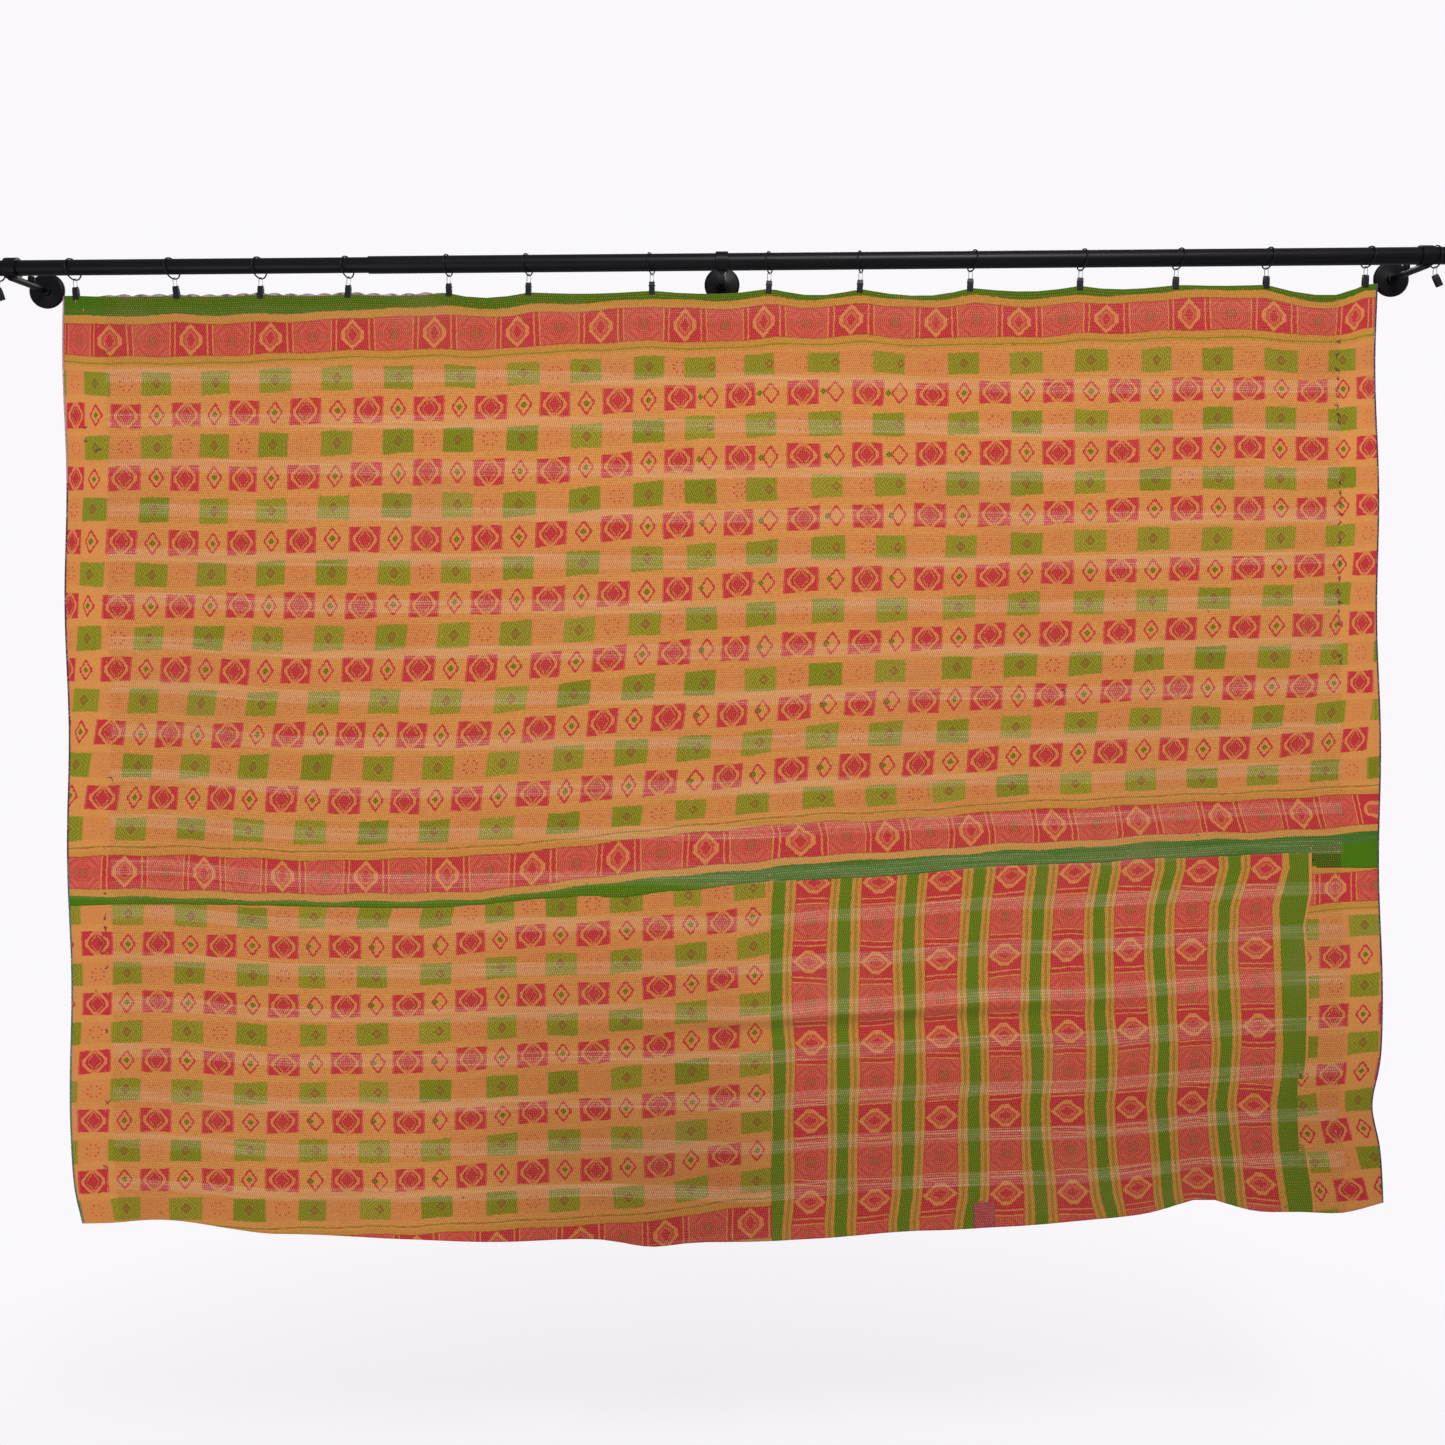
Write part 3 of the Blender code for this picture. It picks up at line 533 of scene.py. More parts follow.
# stitch sizes and colours; the dark red for the dimples is painted shade, multiplied into the holes between stitches
stitch = {"pitch": 0.0031, "dash": 0.27, "thread": 0.21, "gap": 0.30, "hole": 0.26, "haze": 0.13, "cover": 0.48,
          "warm": 0.30, "paleGreen": ink(186, 212, 158), "white": ink(240, 232, 202), "pale": ink(240, 190, 150),
          "warmThread": ink(232, 158, 92), "shadedDimple": ink(184, 128, 98)}


def stitched(bench, colour, x, row, whiteRows, kept=1.0, white="white"):
    # running stitch, staggered from row to row, each stitch a little different; white thread in some rows; painted
    # shade in the dimples between stitches
    s = stitch
    row = row + (bench.noise((x * 9, row * 0.5), 1.0, 1.0) - 0.5) * 0.5
    line = (row + 0.5).floor()
    across = row - line
    drift = bench.noise((x * 3, line * 0.37), 1.0, 1.0)
    place = x / s["pitch"] + line * 0.5 + drift * 2.4
    along = place % 1 - 0.5
    cell = bench.joined(place.floor(), line)
    chance = bench.node("ShaderNodeTexWhiteNoise", {"noise_dimensions": "2D"}, {"Vector": cell})
    fade = bench.noise((x * 7, line * 3.1), 1.0)
    dash = within(along, s["dash"], 0.20) * within(across, s["thread"], 0.20) * kept
    aside = across + (chance - 0.5) * 0.30 + along * 0.3
    shadedDimple = above(abs(along), s["gap"], 0.24) * within(aside, s["hole"], 0.32) * kept
    whiteness = whiteRows * ((fade - 0.22) * 2.2).clamped()
    shown = dash * (0.40 + chance * 0.85)
    # painted shade: each dimple between stitches is darkened by multiplying in a dark red, beside its real dent in the
    # bump
    colour = bench.coats(
        colour, s, (shown * (1 - whiteness) * s["warm"], "warmThread"),
        ((shadedDimple * (0.05 + chance * 1.05)).clamped(), "shadedDimple", "MULTIPLY"), (whiteness * s["haze"], "pale"),
        ((shown * whiteness * s["cover"]).clamped(), white))
    return colour, dash * 0.6 - shadedDimple * 0.9


def whiteBand(row, half):    # rows of white thread in each band, a row below the middle
    return within(repeat(row - sew["topRows"], sew["perBand"]) - 1.0, half, 0.5)


def woven(bench, colour, puff, place, roughness, specular):
    weave = bench.noise(place, 700.0)
    bench.solid(colour, roughness + (weave - 0.5) * 0.1, specular)
    bench.bump(puff + weave * 0.35, 0.0006, 0.8)
    return bench.material


def fieldDye(bench, colour, u, v, x, row, uneven):
    c = cotton
    gold = sum(between(v, *edges) for edges in c["goldGrounds"])
    greenLines = sum(within(v - middle, c["lineHalf"]) for middle in c["greenLines"])
    colour = bench.coats(colour, c, (gold.clamped() * 0.85, "gold"), (greenLines.clamped() * 0.85, "block"))
    low = above(row, *c["lowFrom"])
    first, last = c["asideRows"]
    drift = c["aside"] - ((row - first) / (last - first)).clamped() * c["asideFall"]
    aside = between(x, *c["overprint"]) * (1 - low) * drift + between(x, *c["overprintLow"]) * low * c["asideLow"]
    colour = fieldPrint(bench, colour, u, u + aside, v, between(v, *c["field"]))
    for start, middle in c["bands"]:
        colour = bandPrint(bench, colour, u + start, v - middle, within(v - middle, c["bandReach"]))
    leaf = sum(between(v, *edges) for edges in c["leaves"]).clamped()
    corner = above(x, c["corner"][0]) * above(v, c["corner"][1])
    # the low border turns from leaf to teal along a slant
    slant = x - (v - c["leaves"][1][0]) * 7 + 0.125
    teal = above(slant, 0, 0.01) * above(v, 0.5) * (1 - corner)
    green = bench.coats(c["leaf"], c, (teal, "teal"), (below(v, 0.0) * uneven * 0.6, "leafDark"),
                        (corner * below(x, 0.984) * 0.8, "leafDark"))
    topRows = below(row, 11, 3.0) * above(row, 5, 2.0) * 0.25
    seamRows = between(v, 0.908, 0.99) * above(x, -0.05, 0.05) * (1 - corner) * 0.52
    lowRows = between(v, 0.895, 0.925) * below(x, 0.0, 0.2) * 0.35
    return bench.mix(leaf, colour, green), leaf, topRows + seamRows + lowRows


def stripeDye(bench, colour, u, v, x, row, uneven):
    c = cotton
    pitch, (dotted, dottedHalf) = c["stripePitch"], c["stripeDots"]
    across = repeat(u, pitch)
    leaf = within(across, c["stripeHalf"])
    middle = within(abs(across) - dotted, dottedHalf) * (0.25 + 0.45 * dots(cells(u), cells(v))) * (u < 0.80)
    green, selvageGreen = (bench.mix(uneven * share, c["leaf"], c["blockLight"]) for share in (0.30, 0.32))
    gold = within(across, c["stripeGold"])
    colour = bench.coats(colour, c, (gold * 0.85, "gold"), (middle, "blockDark"), (leaf, green))
    colour = bandPrint(bench, colour, v, repeat(u - pitch / 2, pitch), 1.0)
    selvage = above(u, c["selvage"], 0.0008)
    colour = bench.coats(colour, c, (selvage, selvageGreen), (above(x, c["selvageEdge"]), "marginGold"))
    return colour, (leaf + selvage * below(x, c["selvageEdge"])).clamped(), 0


def makeCotton(name, dye):
    bench = Bench(name)
    u, v = bench.uv("print")
    x, row = bench.sewn()
    place = (x, row * 0.004)
    # the puckered cloth leaves every printed edge a little ragged
    u = u + (bench.noise(place, 170.0, 1.0) - 0.5) * 0.0034
    v = v + (bench.noise((x + 3.1, row * 0.004), 170.0, 1.0) - 0.5) * 0.0034
    blotch = bench.noise((x * 1.3, row * 0.012), 2.2, 3.0)
    strip = bench.noise((x * 0.9, row * 0.075), 1.6)
    panel = bench.noise((((x + 0.09) / 0.4).floor() * 3.7, (row / 26).floor() * 0.3), 1.0, 0.0)
    warm = ((blotch - 0.47) * 2.2 + (strip - 0.5) * 1.8 + (panel - 0.5) * 1.2).clamped()
    margin = between(x, *sew["margin"], 0.006)
    uneven = bench.noise((u * 40, v * 40), 6.0, 3.0)
    colour = bench.coats(cotton["ground"], cotton, (warm * 0.75, "redGround"), ((1 - margin) * 0.3, "marginGold"))
    colour, leaf, moreWhite = dye(bench, colour, u, v, x, row, uneven)
    # painted shade low down to the right and low in the middle, and darker along the top
    shadeAndWear = above(row, 312, 60) * above(x, -0.30, 0.4) * 0.40 + below(row, 26, 40) * 0.30
    shadeAndWear = (shadeAndWear + above(row, 266, 40) * between(x, -0.40, 0.06, 0.14) * 0.22).clamped()
    colour = bench.coats(colour, cotton, (0.10 + (uneven - 0.5) * 0.3, "stain", "MULTIPLY"), (shadeAndWear, "shadeAndWear", "MULTIPLY"))
    first, last = sew["whiteRows"]
    half = 1.9 + bench.noise((x * 2.1, row * 0.03), 1.6, 1.0) * 1.8
    whiteRows = whiteBand(row, half) * above(row, first, 0.5) * margin * below(row, last) + moreWhite
    white = bench.mix(leaf, stitch["white"], stitch["paleGreen"])
    colour, puff = stitched(bench, colour, x, row, whiteRows.clamped(), 0.36 + margin * 0.64, white)
    # worn specks and a faint soiling
    speck = bench.node("ShaderNodeTexVoronoi", {"feature": "F1"}, {"Vector": bench.joined(*place), "Scale": 24.0})
    spot, soil = bench.noise(place, 90.0), bench.noise(place, 5.0, 4.0)
    colour = bench.coats(colour, cotton, ((speck < 0.07) * (spot > 0.60) * 0.5, "speck"),
                         (((soil - 0.55) * 2.0).clamped() * 0.40, "soil"))
    return woven(bench, colour, puff, place, 0.86, 0.1)


# Where the print lies on each cloth
layout = {
    # upper cloth: x of the first row's green columns, and their number
    "columns": [(-1.062, -1.5), (-1.006, -0.5), (-0.905, 0.5), (-0.8105, 1.5), (-0.716, 2.5), (-0.616, 3.5),
        (-0.517, 4.5), (-0.420, 5.5), (-0.3205, 6.5), (-0.2185, 7.5), (-0.1165, 8.5), (-0.0200, 9.5), (0.0745, 10.5),
        (0.182, 11.5), (0.283, 12.5), (0.3835, 13.5), (0.4865, 14.5), (0.589, 15.5), (0.692, 16.5), (0.791, 17.5),
        (0.893, 18.5), (0.993, 19.5), (1.06, 20.3)],
    # the columns lean left going down: how far at the last row, and how it grows
    "lean": [(-1.05, 0.043), (-0.40, 0.043), (-0.15, 0.036), (-0.02, 0.018), (0.15, 0.015), (0.50, 0.020),
        (1.05, 0.024)],
    "leanGrowth": [(0.0, 0.0), (0.19, 0.0), (0.48, 0.24), (0.57, 0.34), (0.66, 0.55), (0.755, 0.83), (0.846, 1.05),
        (0.938, 1.18), (1.10, 1.25)],
    # further lean over the middle depths of the right half
    "rightLean": [(-0.30, 0.0), (-0.03, 0.008), (0.10, 0.010), (0.21, 0.011), (0.33, 0.010), (0.57, 0.008),
        (0.81, 0.012), (1.05, 0.012)],
    "rightGrowth": [(0.40, 0.0), (0.57, 0.35), (0.66, 0.6), (0.755, 0.9), (0.846, 1.3), (0.90, 0.0)],
    # the lower red band, moved along and lifted
    "lowShift": [(-1.05, 0.0), (-0.30, 0.002), (-0.15, 0.008), (-0.03, 0.013), (0.06, 0.009), (0.15, -0.002),
        (0.30, -0.004), (1.05, -0.003)],
    "lowLift": [(-1.05, 0.0), (-0.98, 0.001), (-0.87, 0.003), (-0.75, 0.004), (-0.63, 0.001), (-0.51, 0.005),
        (-0.39, 0.007), (-0.27, 0.009), (-0.15, 0.008), (-0.03, 0.010), (0.09, 0.010), (0.21, 0.009), (0.33, 0.005),
        (0.81, 0.005), (0.93, 0.003), (1.05, 0.003)],
    # the red band along the top sits lower than the rows below it would have it
    "bandDrop": [(-1.05, 0.004), (-0.985, 0.008), (-0.87, 0.005), (-0.75, 0.005), (-0.63, 0.009), (-0.50, 0.008),
        (-0.39, 0.005), (-0.27, 0.004), (-0.12, 0.008), (-0.03, 0.009), (0.10, 0.005), (0.21, 0.006), (0.33, 0.004),
        (0.60, 0.0), (0.93, -0.004), (1.05, -0.004)],
    "topGap": [(-1.05, 0.040), (-0.98, 0.0395), (-0.87, 0.0385), (-0.75, 0.038), (-0.63, 0.0315), (-0.51, 0.0275),
        (-0.39, 0.028), (-0.27, 0.0265), (-0.15, 0.0205), (-0.04, 0.0175), (0.06, 0.019), (0.164, 0.015),
        (0.30, 0.0185), (0.40, 0.022), (0.58, 0.025), (0.69, 0.025), (0.83, 0.023), (0.93, 0.028), (1.05, 0.026)],
    "stretch": [(-1.05, 1.002), (-0.97, 1.004), (-0.86, 1.007), (-0.75, 1.013), (-0.63, 1.022), (-0.50, 1.031),
        (-0.40, 1.029), (-0.27, 1.020), (-0.15, 1.013), (-0.03, 1.007), (0.077, 0.994), (0.21, 0.985), (0.33, 0.973),
        (0.45, 0.959), (0.57, 0.953), (0.69, 0.944), (0.83, 0.944), (0.93, 0.931), (1.05, 0.925)],
    # lower left block: its first and last rows of red squares
    "leftFirst": [(-1.05, -1.067), (-0.91, -1.065), (-0.71, -1.0735), (-0.515, -1.073), (-0.413, -1.068),
        (-0.317, -1.0605), (-0.215, -1.060), (-0.11, -1.0485), (-0.007, -1.038), (0.08, -1.025)],
    "leftLast": [(-1.05, -1.448), (-0.916, -1.441), (-0.72, -1.445), (-0.515, -1.446), (-0.415, -1.4405),
        (-0.315, -1.437), (-0.212, -1.437), (-0.108, -1.429), (-0.008, -1.411), (0.08, -1.401)],
    "leftStart": (-1.010, 0.15), "leftStretch": 1.003, "leftRows": (0.3535, 0.4056),
    "leftShift": [(-1.05, 0.0), (-0.60, 0.001), (-0.42, 0.003), (-0.27, 0.009), (-0.15, 0.006), (-0.03, 0.002),
        (0.08, 0.0)],
    # turned block: green stripes, its first and last rows of big diamonds, and the stripes' wander
    "stripes": [(0.060, -0.025), (0.085, 0.0), (0.191, 0.104), (0.298, 0.208), (0.404, 0.312), (0.504, 0.416),
        (0.607, 0.520), (0.707, 0.624), (0.808, 0.728), (0.913, 0.832), (0.945, 0.862)],
    "turnedFirst": [(0.06, -0.976), (0.136, -0.977), (0.24, -0.980), (0.345, -0.976), (0.449, -0.9695), (0.546, -0.963),
        (0.65, -0.962), (0.75, -0.9645), (0.853, -0.960), (0.94, -0.959)],
    "turnedLast": [(0.06, -1.486), (0.235, -1.487), (0.341, -1.479), (0.445, -1.477), (0.541, -1.473), (0.594, -1.475),
        (0.645, -1.468), (0.746, -1.456), (0.848, -1.464), (0.94, -1.468)],
    "turnedRows": 0.532,
    "wanderDepth": [0.961, 1.021, 1.093, 1.194, 1.242, 1.298, 1.334, 1.399, 1.481, 1.523],
    "wander": {0.085: [0, -40, -75, -60, -40, -56, -72, -79, -105, -139],
               0.404: [0, -64, -102, -130, -112, -100, -140, -145, -150, -220],
               0.607: [0, -128, -165, -145, -106, -120, -155, -110, -35, 70],
               0.918: [0, -200, -200, -150, -150, -195, -255, -220, -140, -95]},
    # how far the block's right edge lies from its seam line
    "edgeWander": [(1.00, 0.0), (1.053, -0.012), (1.101, -0.009), (1.181, -0.008), (1.261, -0.010), (1.341, -0.016),
        (1.421, -0.011), (1.485, -0.002), (1.53, 0.0)],
    # right strip: its top, slope and stretch, how far its red band lies aside, and x of its squares at each depth
    "stripTop": (-0.9665, 0.974), "stripSlope": 0.045, "stripStretch": 0.917, "stripBand": (0.0066, -0.0034),
    "stripSquares": [(1.00, 0.972), (1.11, 0.970), (1.204, 0.965), (1.299, 0.965), (1.391, 0.977), (1.481, 0.994),
        (1.56, 1.006)],
}


def table(name, x):
    places, values = zip(*layout[name])
    return np.interp(x, places, values)


def handPrinted(u, v, x, z):    # blocks set down by hand, never quite square
    du = 0.0013 * np.sin(19 * x + 11 * z) + 0.0011 * np.sin(47 * x - 29 * z + 1)
    dv = 0.0014 * np.sin(15 * x - 21 * z + 2) + 0.0012 * np.sin(53 * x + 37 * z)
    return u + du, v + dv


def upperPrint(x, z):
    depth = np.maximum(topZ(x) - z, 0)
    top = clipLine(x) - table("topGap", x) - sagOf(x) * np.exp(-depth / 0.10)
    top = top - table("bandDrop", x) * np.clip((0.125 - depth) / 0.05, 0, 1)
    v = (top - z) / table("stretch", x)
    low = np.clip((v - 0.80) / 0.04, 0, 1)
    v = v + table("lowLift", x) * low
    leaned = x + table("lean", x) * table("leanGrowth", -z) + table("rightLean", x) * table("rightGrowth", -z)
    leaned = leaned + table("lowShift", x) * low
    return handPrinted((table("columns", leaned) - 0.5) * 0.1, v, x, z)


def lowerLeftPrint(x, z):
    first, last = table("leftFirst", x), table("leftLast", x)
    drop = (first - z) / (first - last)
    lean = 0.011 * hump(x, -0.98, 0.25) * drop + table("leftShift", x)
    (startX, startU), (firstV, rowsV) = layout["leftStart"], layout["leftRows"]
    return handPrinted(startU + (x - startX + lean) / layout["leftStretch"], firstV + rowsV * drop, x, z)


def turnedPrint(x, z):
    drifts = [np.interp(-z, layout["wanderDepth"], np.array(values) * 0.0001) for values in layout["wander"].values()]
    places = list(layout["wander"])
    shift = drifts[0]
    for i in range(3):
        part = np.clip((x - places[i]) / (places[i + 1] - places[i]), 0, 1)
        shift = shift + (drifts[i + 1] - drifts[i]) * part
    first, last = table("turnedFirst", x), table("turnedLast", x)
    return handPrinted(table("stripes", x - shift), layout["turnedRows"] * (first - z) / (first - last), x, z)


def stripPrint(x, z):
    top, topX = layout["stripTop"]
    u = cotton["columnPitch"] / 2 + x - table("stripSquares", -z)
    v = (top + layout["stripSlope"] * (x - topX) - z) / layout["stripStretch"]
    band, (bandU, bandV) = np.clip((0.078 - v) / 0.012, 0, 1), layout["stripBand"]
    return handPrinted(u + bandU * band, v + bandV * band, x, z)


def edgeWander(x, z):
    return table("edgeWander", -z) * np.clip((x - 0.895) / 0.040, 0, 1)


# The cloth pieces: "rolls" names the edges that are turned in
allRound = ("left", "right", "top", "bottom")
lower = {"firstRow": 226, "lastRow": lastRow, "high": lambda x: sewnSeamZ(x) + sew["tuck"]}
upperCut = {"left": hang["leftEdge"], "right": hang["rightEdge"], "rolls": allRound, "firstRow": 0, "lastRow": 256,
            "low": sewnSeamZ, "extra": [0.934, 0.943], "raise": lambda x, z: 0.0009 * hump(z, sewnSeamZ(x), 0.018)}
leftCut = {**lower, "left": hang["leftEdge"], "right": hang["blockSeam"] + 0.010, "rolls": ("left", "bottom")}
turnedCut = {**lower, "left": hang["blockSeam"], "right": hang["stripSeam"], "rolls": ("bottom",), "wander": edgeWander,
             "raise": lambda x, z: 0.0007 * (hump(x, hang["blockSeam"], 0.02) + hump(x, hang["stripSeam"], 0.02))}
stripCut = {**lower, "left": hang["stripSeam"] - 0.026, "right": hang["rightEdge"], "rolls": ("right", "bottom"),
            "high": lambda x: seamZ(x) + sew["tuck"]}
clipNodes = ["clip_%02d" % (i + 1) for i in range(len(clipX))]
fieldCotton, stripeCotton = makeCotton("fieldCotton", fieldDye), makeCotton("stripeCotton", stripeDye)
for node, cut, printMap, cloth, flat, restsOn in (
        ("upper_cloth", upperCut, upperPrint, fieldCotton, (2.10, 0.965), clipNodes),
        ("lower_left_block", leftCut, lowerLeftPrint, fieldCotton, (1.13, 0.55), ["upper_cloth_print"]),
        ("lower_turned_block", turnedCut, turnedPrint, stripeCotton, (0.87, 0.58), ["upper_cloth_print"]),
        ("lower_right_strip", stripCut, stripPrint, fieldCotton, (0.12, 0.58), ["upper_cloth_print"])):
    makeCloth(node + "_print", cut, printMap, cloth, flat, restsOn, node)


# Backing, seen at the edges and from behind: three old cloths under the same stitches
backing = {"navy": ink(46, 44, 96), "navyDark": ink(30, 28, 66), "teal": ink(40, 122, 128), "lilac": ink(176, 150, 164),
           "motif": ink(196, 176, 160), "plum": ink(120, 72, 104), "pitch": 0.045, "thread": 0.0018, "check": 0.024,
           "patchTop": -0.330, "patchRight": -0.44, "tealTop": -0.93, "tealRight": -0.62, "beyond": 0.0026}


def makeBacking():
    bench = Bench("backingCotton")
    b = backing
    pitch, thread = b["pitch"], b["thread"]
    u, v = bench.uv("print")
    x, row = bench.sewn()
    soft = bench.noise((x * 2, v * 3), 3.0, 3.0)
    cellX, cellY = repeat(u + ((v / pitch).floor() % 2) * pitch / 2, pitch), repeat(v - pitch / 2, pitch)
    qx, qy = cells(cellX, thread), cells(cellY, thread)
    sprig = (abs(qx + qy - 3) < 0.6) + (qx + qy < 1) + (abs(qx - qy) < 0.5) * (qx < 6) * (qx > 3)
    teal = below(x, b["tealRight"]) * above(v, -b["tealTop"])
    besidePatch, overPatch = below(x, b["patchRight"]), below(v, -b["patchTop"])
    lilac = besidePatch * overPatch
    check = within(repeat(u, b["check"]), 0.0014) + within(repeat(v, b["check"]), 0.0014)
    seams = within(x - b["patchRight"], 0.0010) * overPatch + within(v + b["patchTop"], 0.0010) * besidePatch
    shade = ((bench.noise((x * 3, 0.0), 22.0) - 0.44) * 6).clamped()
    colour = bench.coats(
        bench.mix(soft, b["navy"], b["navyDark"]), b, (teal, "teal"), (teal * check.clamped() * 0.5, "navyDark"),
        (lilac, "lilac"), ((sprig.clamped() * (1 - teal)) * 0.55, bench.mix(lilac, b["motif"], b["plum"])),
        (seams.clamped() * 0.7, "navyDark"), (below(row, 1.5) * shade * 0.8, "navyDark"))
    colour, puff = stitched(bench, colour, x, row, (whiteBand(row, 2.6) + 0.25).clamped())
    return woven(bench, colour, puff, (x, v), 0.88, 0.2)


def backEdge(x, row):    # the backing's rolled edge, in scallops above the top left
    scallop = 0.0010 + 0.0034 * np.abs(np.sin(np.pi * x / 0.027 + 0.4 * np.sin(9 * x)))
    return scallop * np.clip((x + 1.0) / 0.03, 0, 1) * np.clip((-0.44 - x) / 0.03, 0, 1) * np.clip(1 - row / 2, 0, 1)


backCut = {"left": hang["leftEdge"] - backing["beyond"], "right": hang["rightEdge"] + backing["beyond"],
           "rolls": allRound, "firstRow": 0, "lastRow": lastRow, "side": -1, "lip": backEdge, "columns": 0.034,
           "lines": 1, "extra": np.linspace(-1.02, -0.42, 101), "raise": -0.0002}
makeCloth("backing_cloth", backCut, lambda x, z: (x, -z), makeBacking(), (2.10, 1.50), clipNodes)

# A small maroon patch sewn over the hem
patch = {"left": 0.389, "right": 0.4225, "top": -1.490, "colour": ink(150, 42, 56), "line": ink(180, 86, 80),
         "edge": ink(90, 30, 40)}


def makePatch():
    bench = Bench("patchCotton")
    x, row = bench.sewn()
    fine = bench.noise((x, row * 0.004), 60.0, 3.0)
    edge = within(x - patch["left"], 0.0012) + within(x - patch["right"], 0.0012)
    colour = bench.coats(patch["colour"], patch, (((fine - 0.4) * 2).clamped() * 0.5, "line"),
                         (edge.clamped() * 0.6, "edge"))
    colour, puff = stitched(bench, colour, x, row, bench.noise((x, row), 0.3) * 0.3)
    bench.solid(colour, 0.88)
    bench.bump(puff + fine * 0.3, 0.0006, 0.8)
    return bench.material


patchCut = {"left": patch["left"], "right": patch["right"], "rolls": ("bottom",), "firstRow": 340, "lastRow": lastRow,
            "high": lambda x: patch["top"] + 0.0008 * np.sin(x * 300), "columns": 0.004, "raise": 0.0006}
makeCloth("hem_patch", patchCut, lambda x, z: (x, -z), makePatch(), (0.034, 0.052), ["lower_turned_block_print"])


def roundFaces(rounds, sides, closed=False, start=0):    # between rounds of points, with ends unless closed
    faces = []
    for i in range(rounds if closed else rounds - 1):
        here, on = start + i * sides, start + (i + 1) % rounds * sides
        for k in range(sides):
            after = (k + 1) % sides
            faces.append((here + k, here + after, on + after, on + k))
    if not closed:
        faces.append(tuple(start + k for k in reversed(range(sides))))
        faces.append(tuple(start + (rounds - 1) * sides + k for k in range(sides)))
    return faces


# Loose thread and wire: round strands in one mesh, their ends drawn in
def strands(name, runs, radius, material, sides=6):
    verts, faces = [], []
    for run in runs:
        points = [Vector(point) for point in run]
        faces += roundFaces(len(points), sides, start=len(verts))
        for i, point in enumerate(points):
            ahead = points[min(i + 1, len(points) - 1)] - points[max(i - 1, 0)]
            turn = ahead.to_track_quat("Z", "Y")
            thin = 0.55 if i in (0, len(points) - 1) else 1.0
            for k in range(sides):
                angle = 2 * math.pi * k / sides
                verts.append(point + turn @ Vector((math.cos(angle), math.sin(angle), 0)) * radius * thin)
    placed(putMesh(name, verts, faces), material)


def threadCotton(name, first, second):
    bench = Bench(name)
    place = bench.node("ShaderNodeTexCoord", out=3)
    twist = bench.noise(place, 900.0, 2.0)
    bench.solid(bench.mix(twist, first, second), 0.8 + (twist - 0.5) * 0.2)
    bench.bump(twist, 0.0002, 0.6)
    return bench.material


def onCloth(x, z, lift=0.0004):    # a point on the front of the quilt
    x, z = np.asarray(float(x)), np.asarray(float(z))
    away = hang["cloth"] / 2 + sew["ridge"] + lift
    return (float(x + edgeShift(x, z)), float(hang["rodY"] - frontOf(x, z) - away), float(z))


# Basting down both sides, with the dark knots that hold it
basting = {"left": [(-1.032, -0.036), (-1.008, -0.062), (-0.990, -0.085), (-0.985, -0.110), (-0.985, -0.30),
                    (-0.990, -0.70), (-0.994, -1.10), (-1.000, -1.48)],
           "right": [(0.984, -0.10), (0.986, -0.40), (0.984, -0.80), (0.976, -1.10), (0.975, -1.48)],
           "stitch": 0.0056, "pitch": 0.0125, "radius": 0.00034, "knotRadius": 0.00052, "knotStrands": 4,
           "knots": [(-0.986, -0.120), (-1.021, -0.240), (-1.021, -0.262), (-1.000, -0.275), (-0.985, -0.80),
                     (-0.996, -0.985), (-0.997, -1.026), (-0.996, -1.040), (-1.000, -1.052), (-1.003, -1.065),
                     (-1.005, -1.080), (-0.996, -1.105), (-0.996, -1.205), (-0.994, -1.322), (-0.998, -1.425),
                     (0.984, -0.120), (0.982, -0.141), (0.984, -0.208), (0.983, -0.222), (0.985, -0.236),
                     (0.984, -0.248), (0.985, -0.472), (0.983, -0.522), (0.984, -0.536), (0.985, -0.572),
                     (0.984, -0.622), (0.985, -0.630), (0.913, -1.292), (0.540, -0.672)],
           # more knots down the right side, by their depth
           "rightX": 0.984,
           "rightDepths": [0.165, 0.180, 0.194, 0.345, 0.362, 0.378, 0.395, 0.410, 0.440, 0.500, 0.552]}
runs = []
for side in ("left", "right"):
    xs, zs = zip(*basting[side])
    z = zs[0]
    while z > zs[-1]:
        x = np.interp(-z, [-value for value in zs], xs) + random.normal(0, 0.0006)
        if random.random() > (0.12 if z > -0.12 else 0.40):
            runs.append([onCloth(x, z, -0.0006), onCloth(x, z - 0.001),
                         onCloth(x + random.normal(0, 0.0004), z - 0.003), onCloth(x, z - 0.0052),
                         onCloth(x, z - basting["stitch"], -0.0006)])
        z -= basting["pitch"] * (0.85 + 0.3 * random.random())
strands("basting_thread", runs, basting["radius"], threadCotton("paleThread", ink(226, 196, 160), ink(206, 166, 124)))
runs = []
for x, z in basting["knots"] + [(basting["rightX"], -depth) for depth in basting["rightDepths"]]:
    for _ in range(basting["knotStrands"]):
        a, b = random.normal(0, 0.0020, 2), random.normal(0, 0.0024, 2)
        runs.append([onCloth(x + a[0], z + a[1], 0), onCloth(x + random.normal(0, 0.0006), z, 0.0006),
                     onCloth(x + b[0] * 0.5, z + b[1] * 0.5, 0.0008), onCloth(x + b[0], z + b[1] * 1.6, 0)])
strands("basting_knots", runs, basting["knotRadius"], threadCotton("darkThread", ink(84, 44, 54), ink(146, 80, 72)))
print("basting")

# Rod, brackets, rings and clips
ironwork = {"specks": 260.0, "specular": 0.16,
            # base, worn places, roughness, metallic
            "rodBlack": (ink(10, 9, 13), ink(18, 16, 21), 0.40, 0.0),
            "ringBlack": (ink(26, 24, 28), ink(60, 56, 60), 0.36, 0.3),
            "clipBlack": (ink(30, 28, 34), ink(62, 60, 66), 0.42, 0.0),
            "loopSilver": (ink(150, 150, 152), ink(190, 190, 190), 0.3, 0.9)}


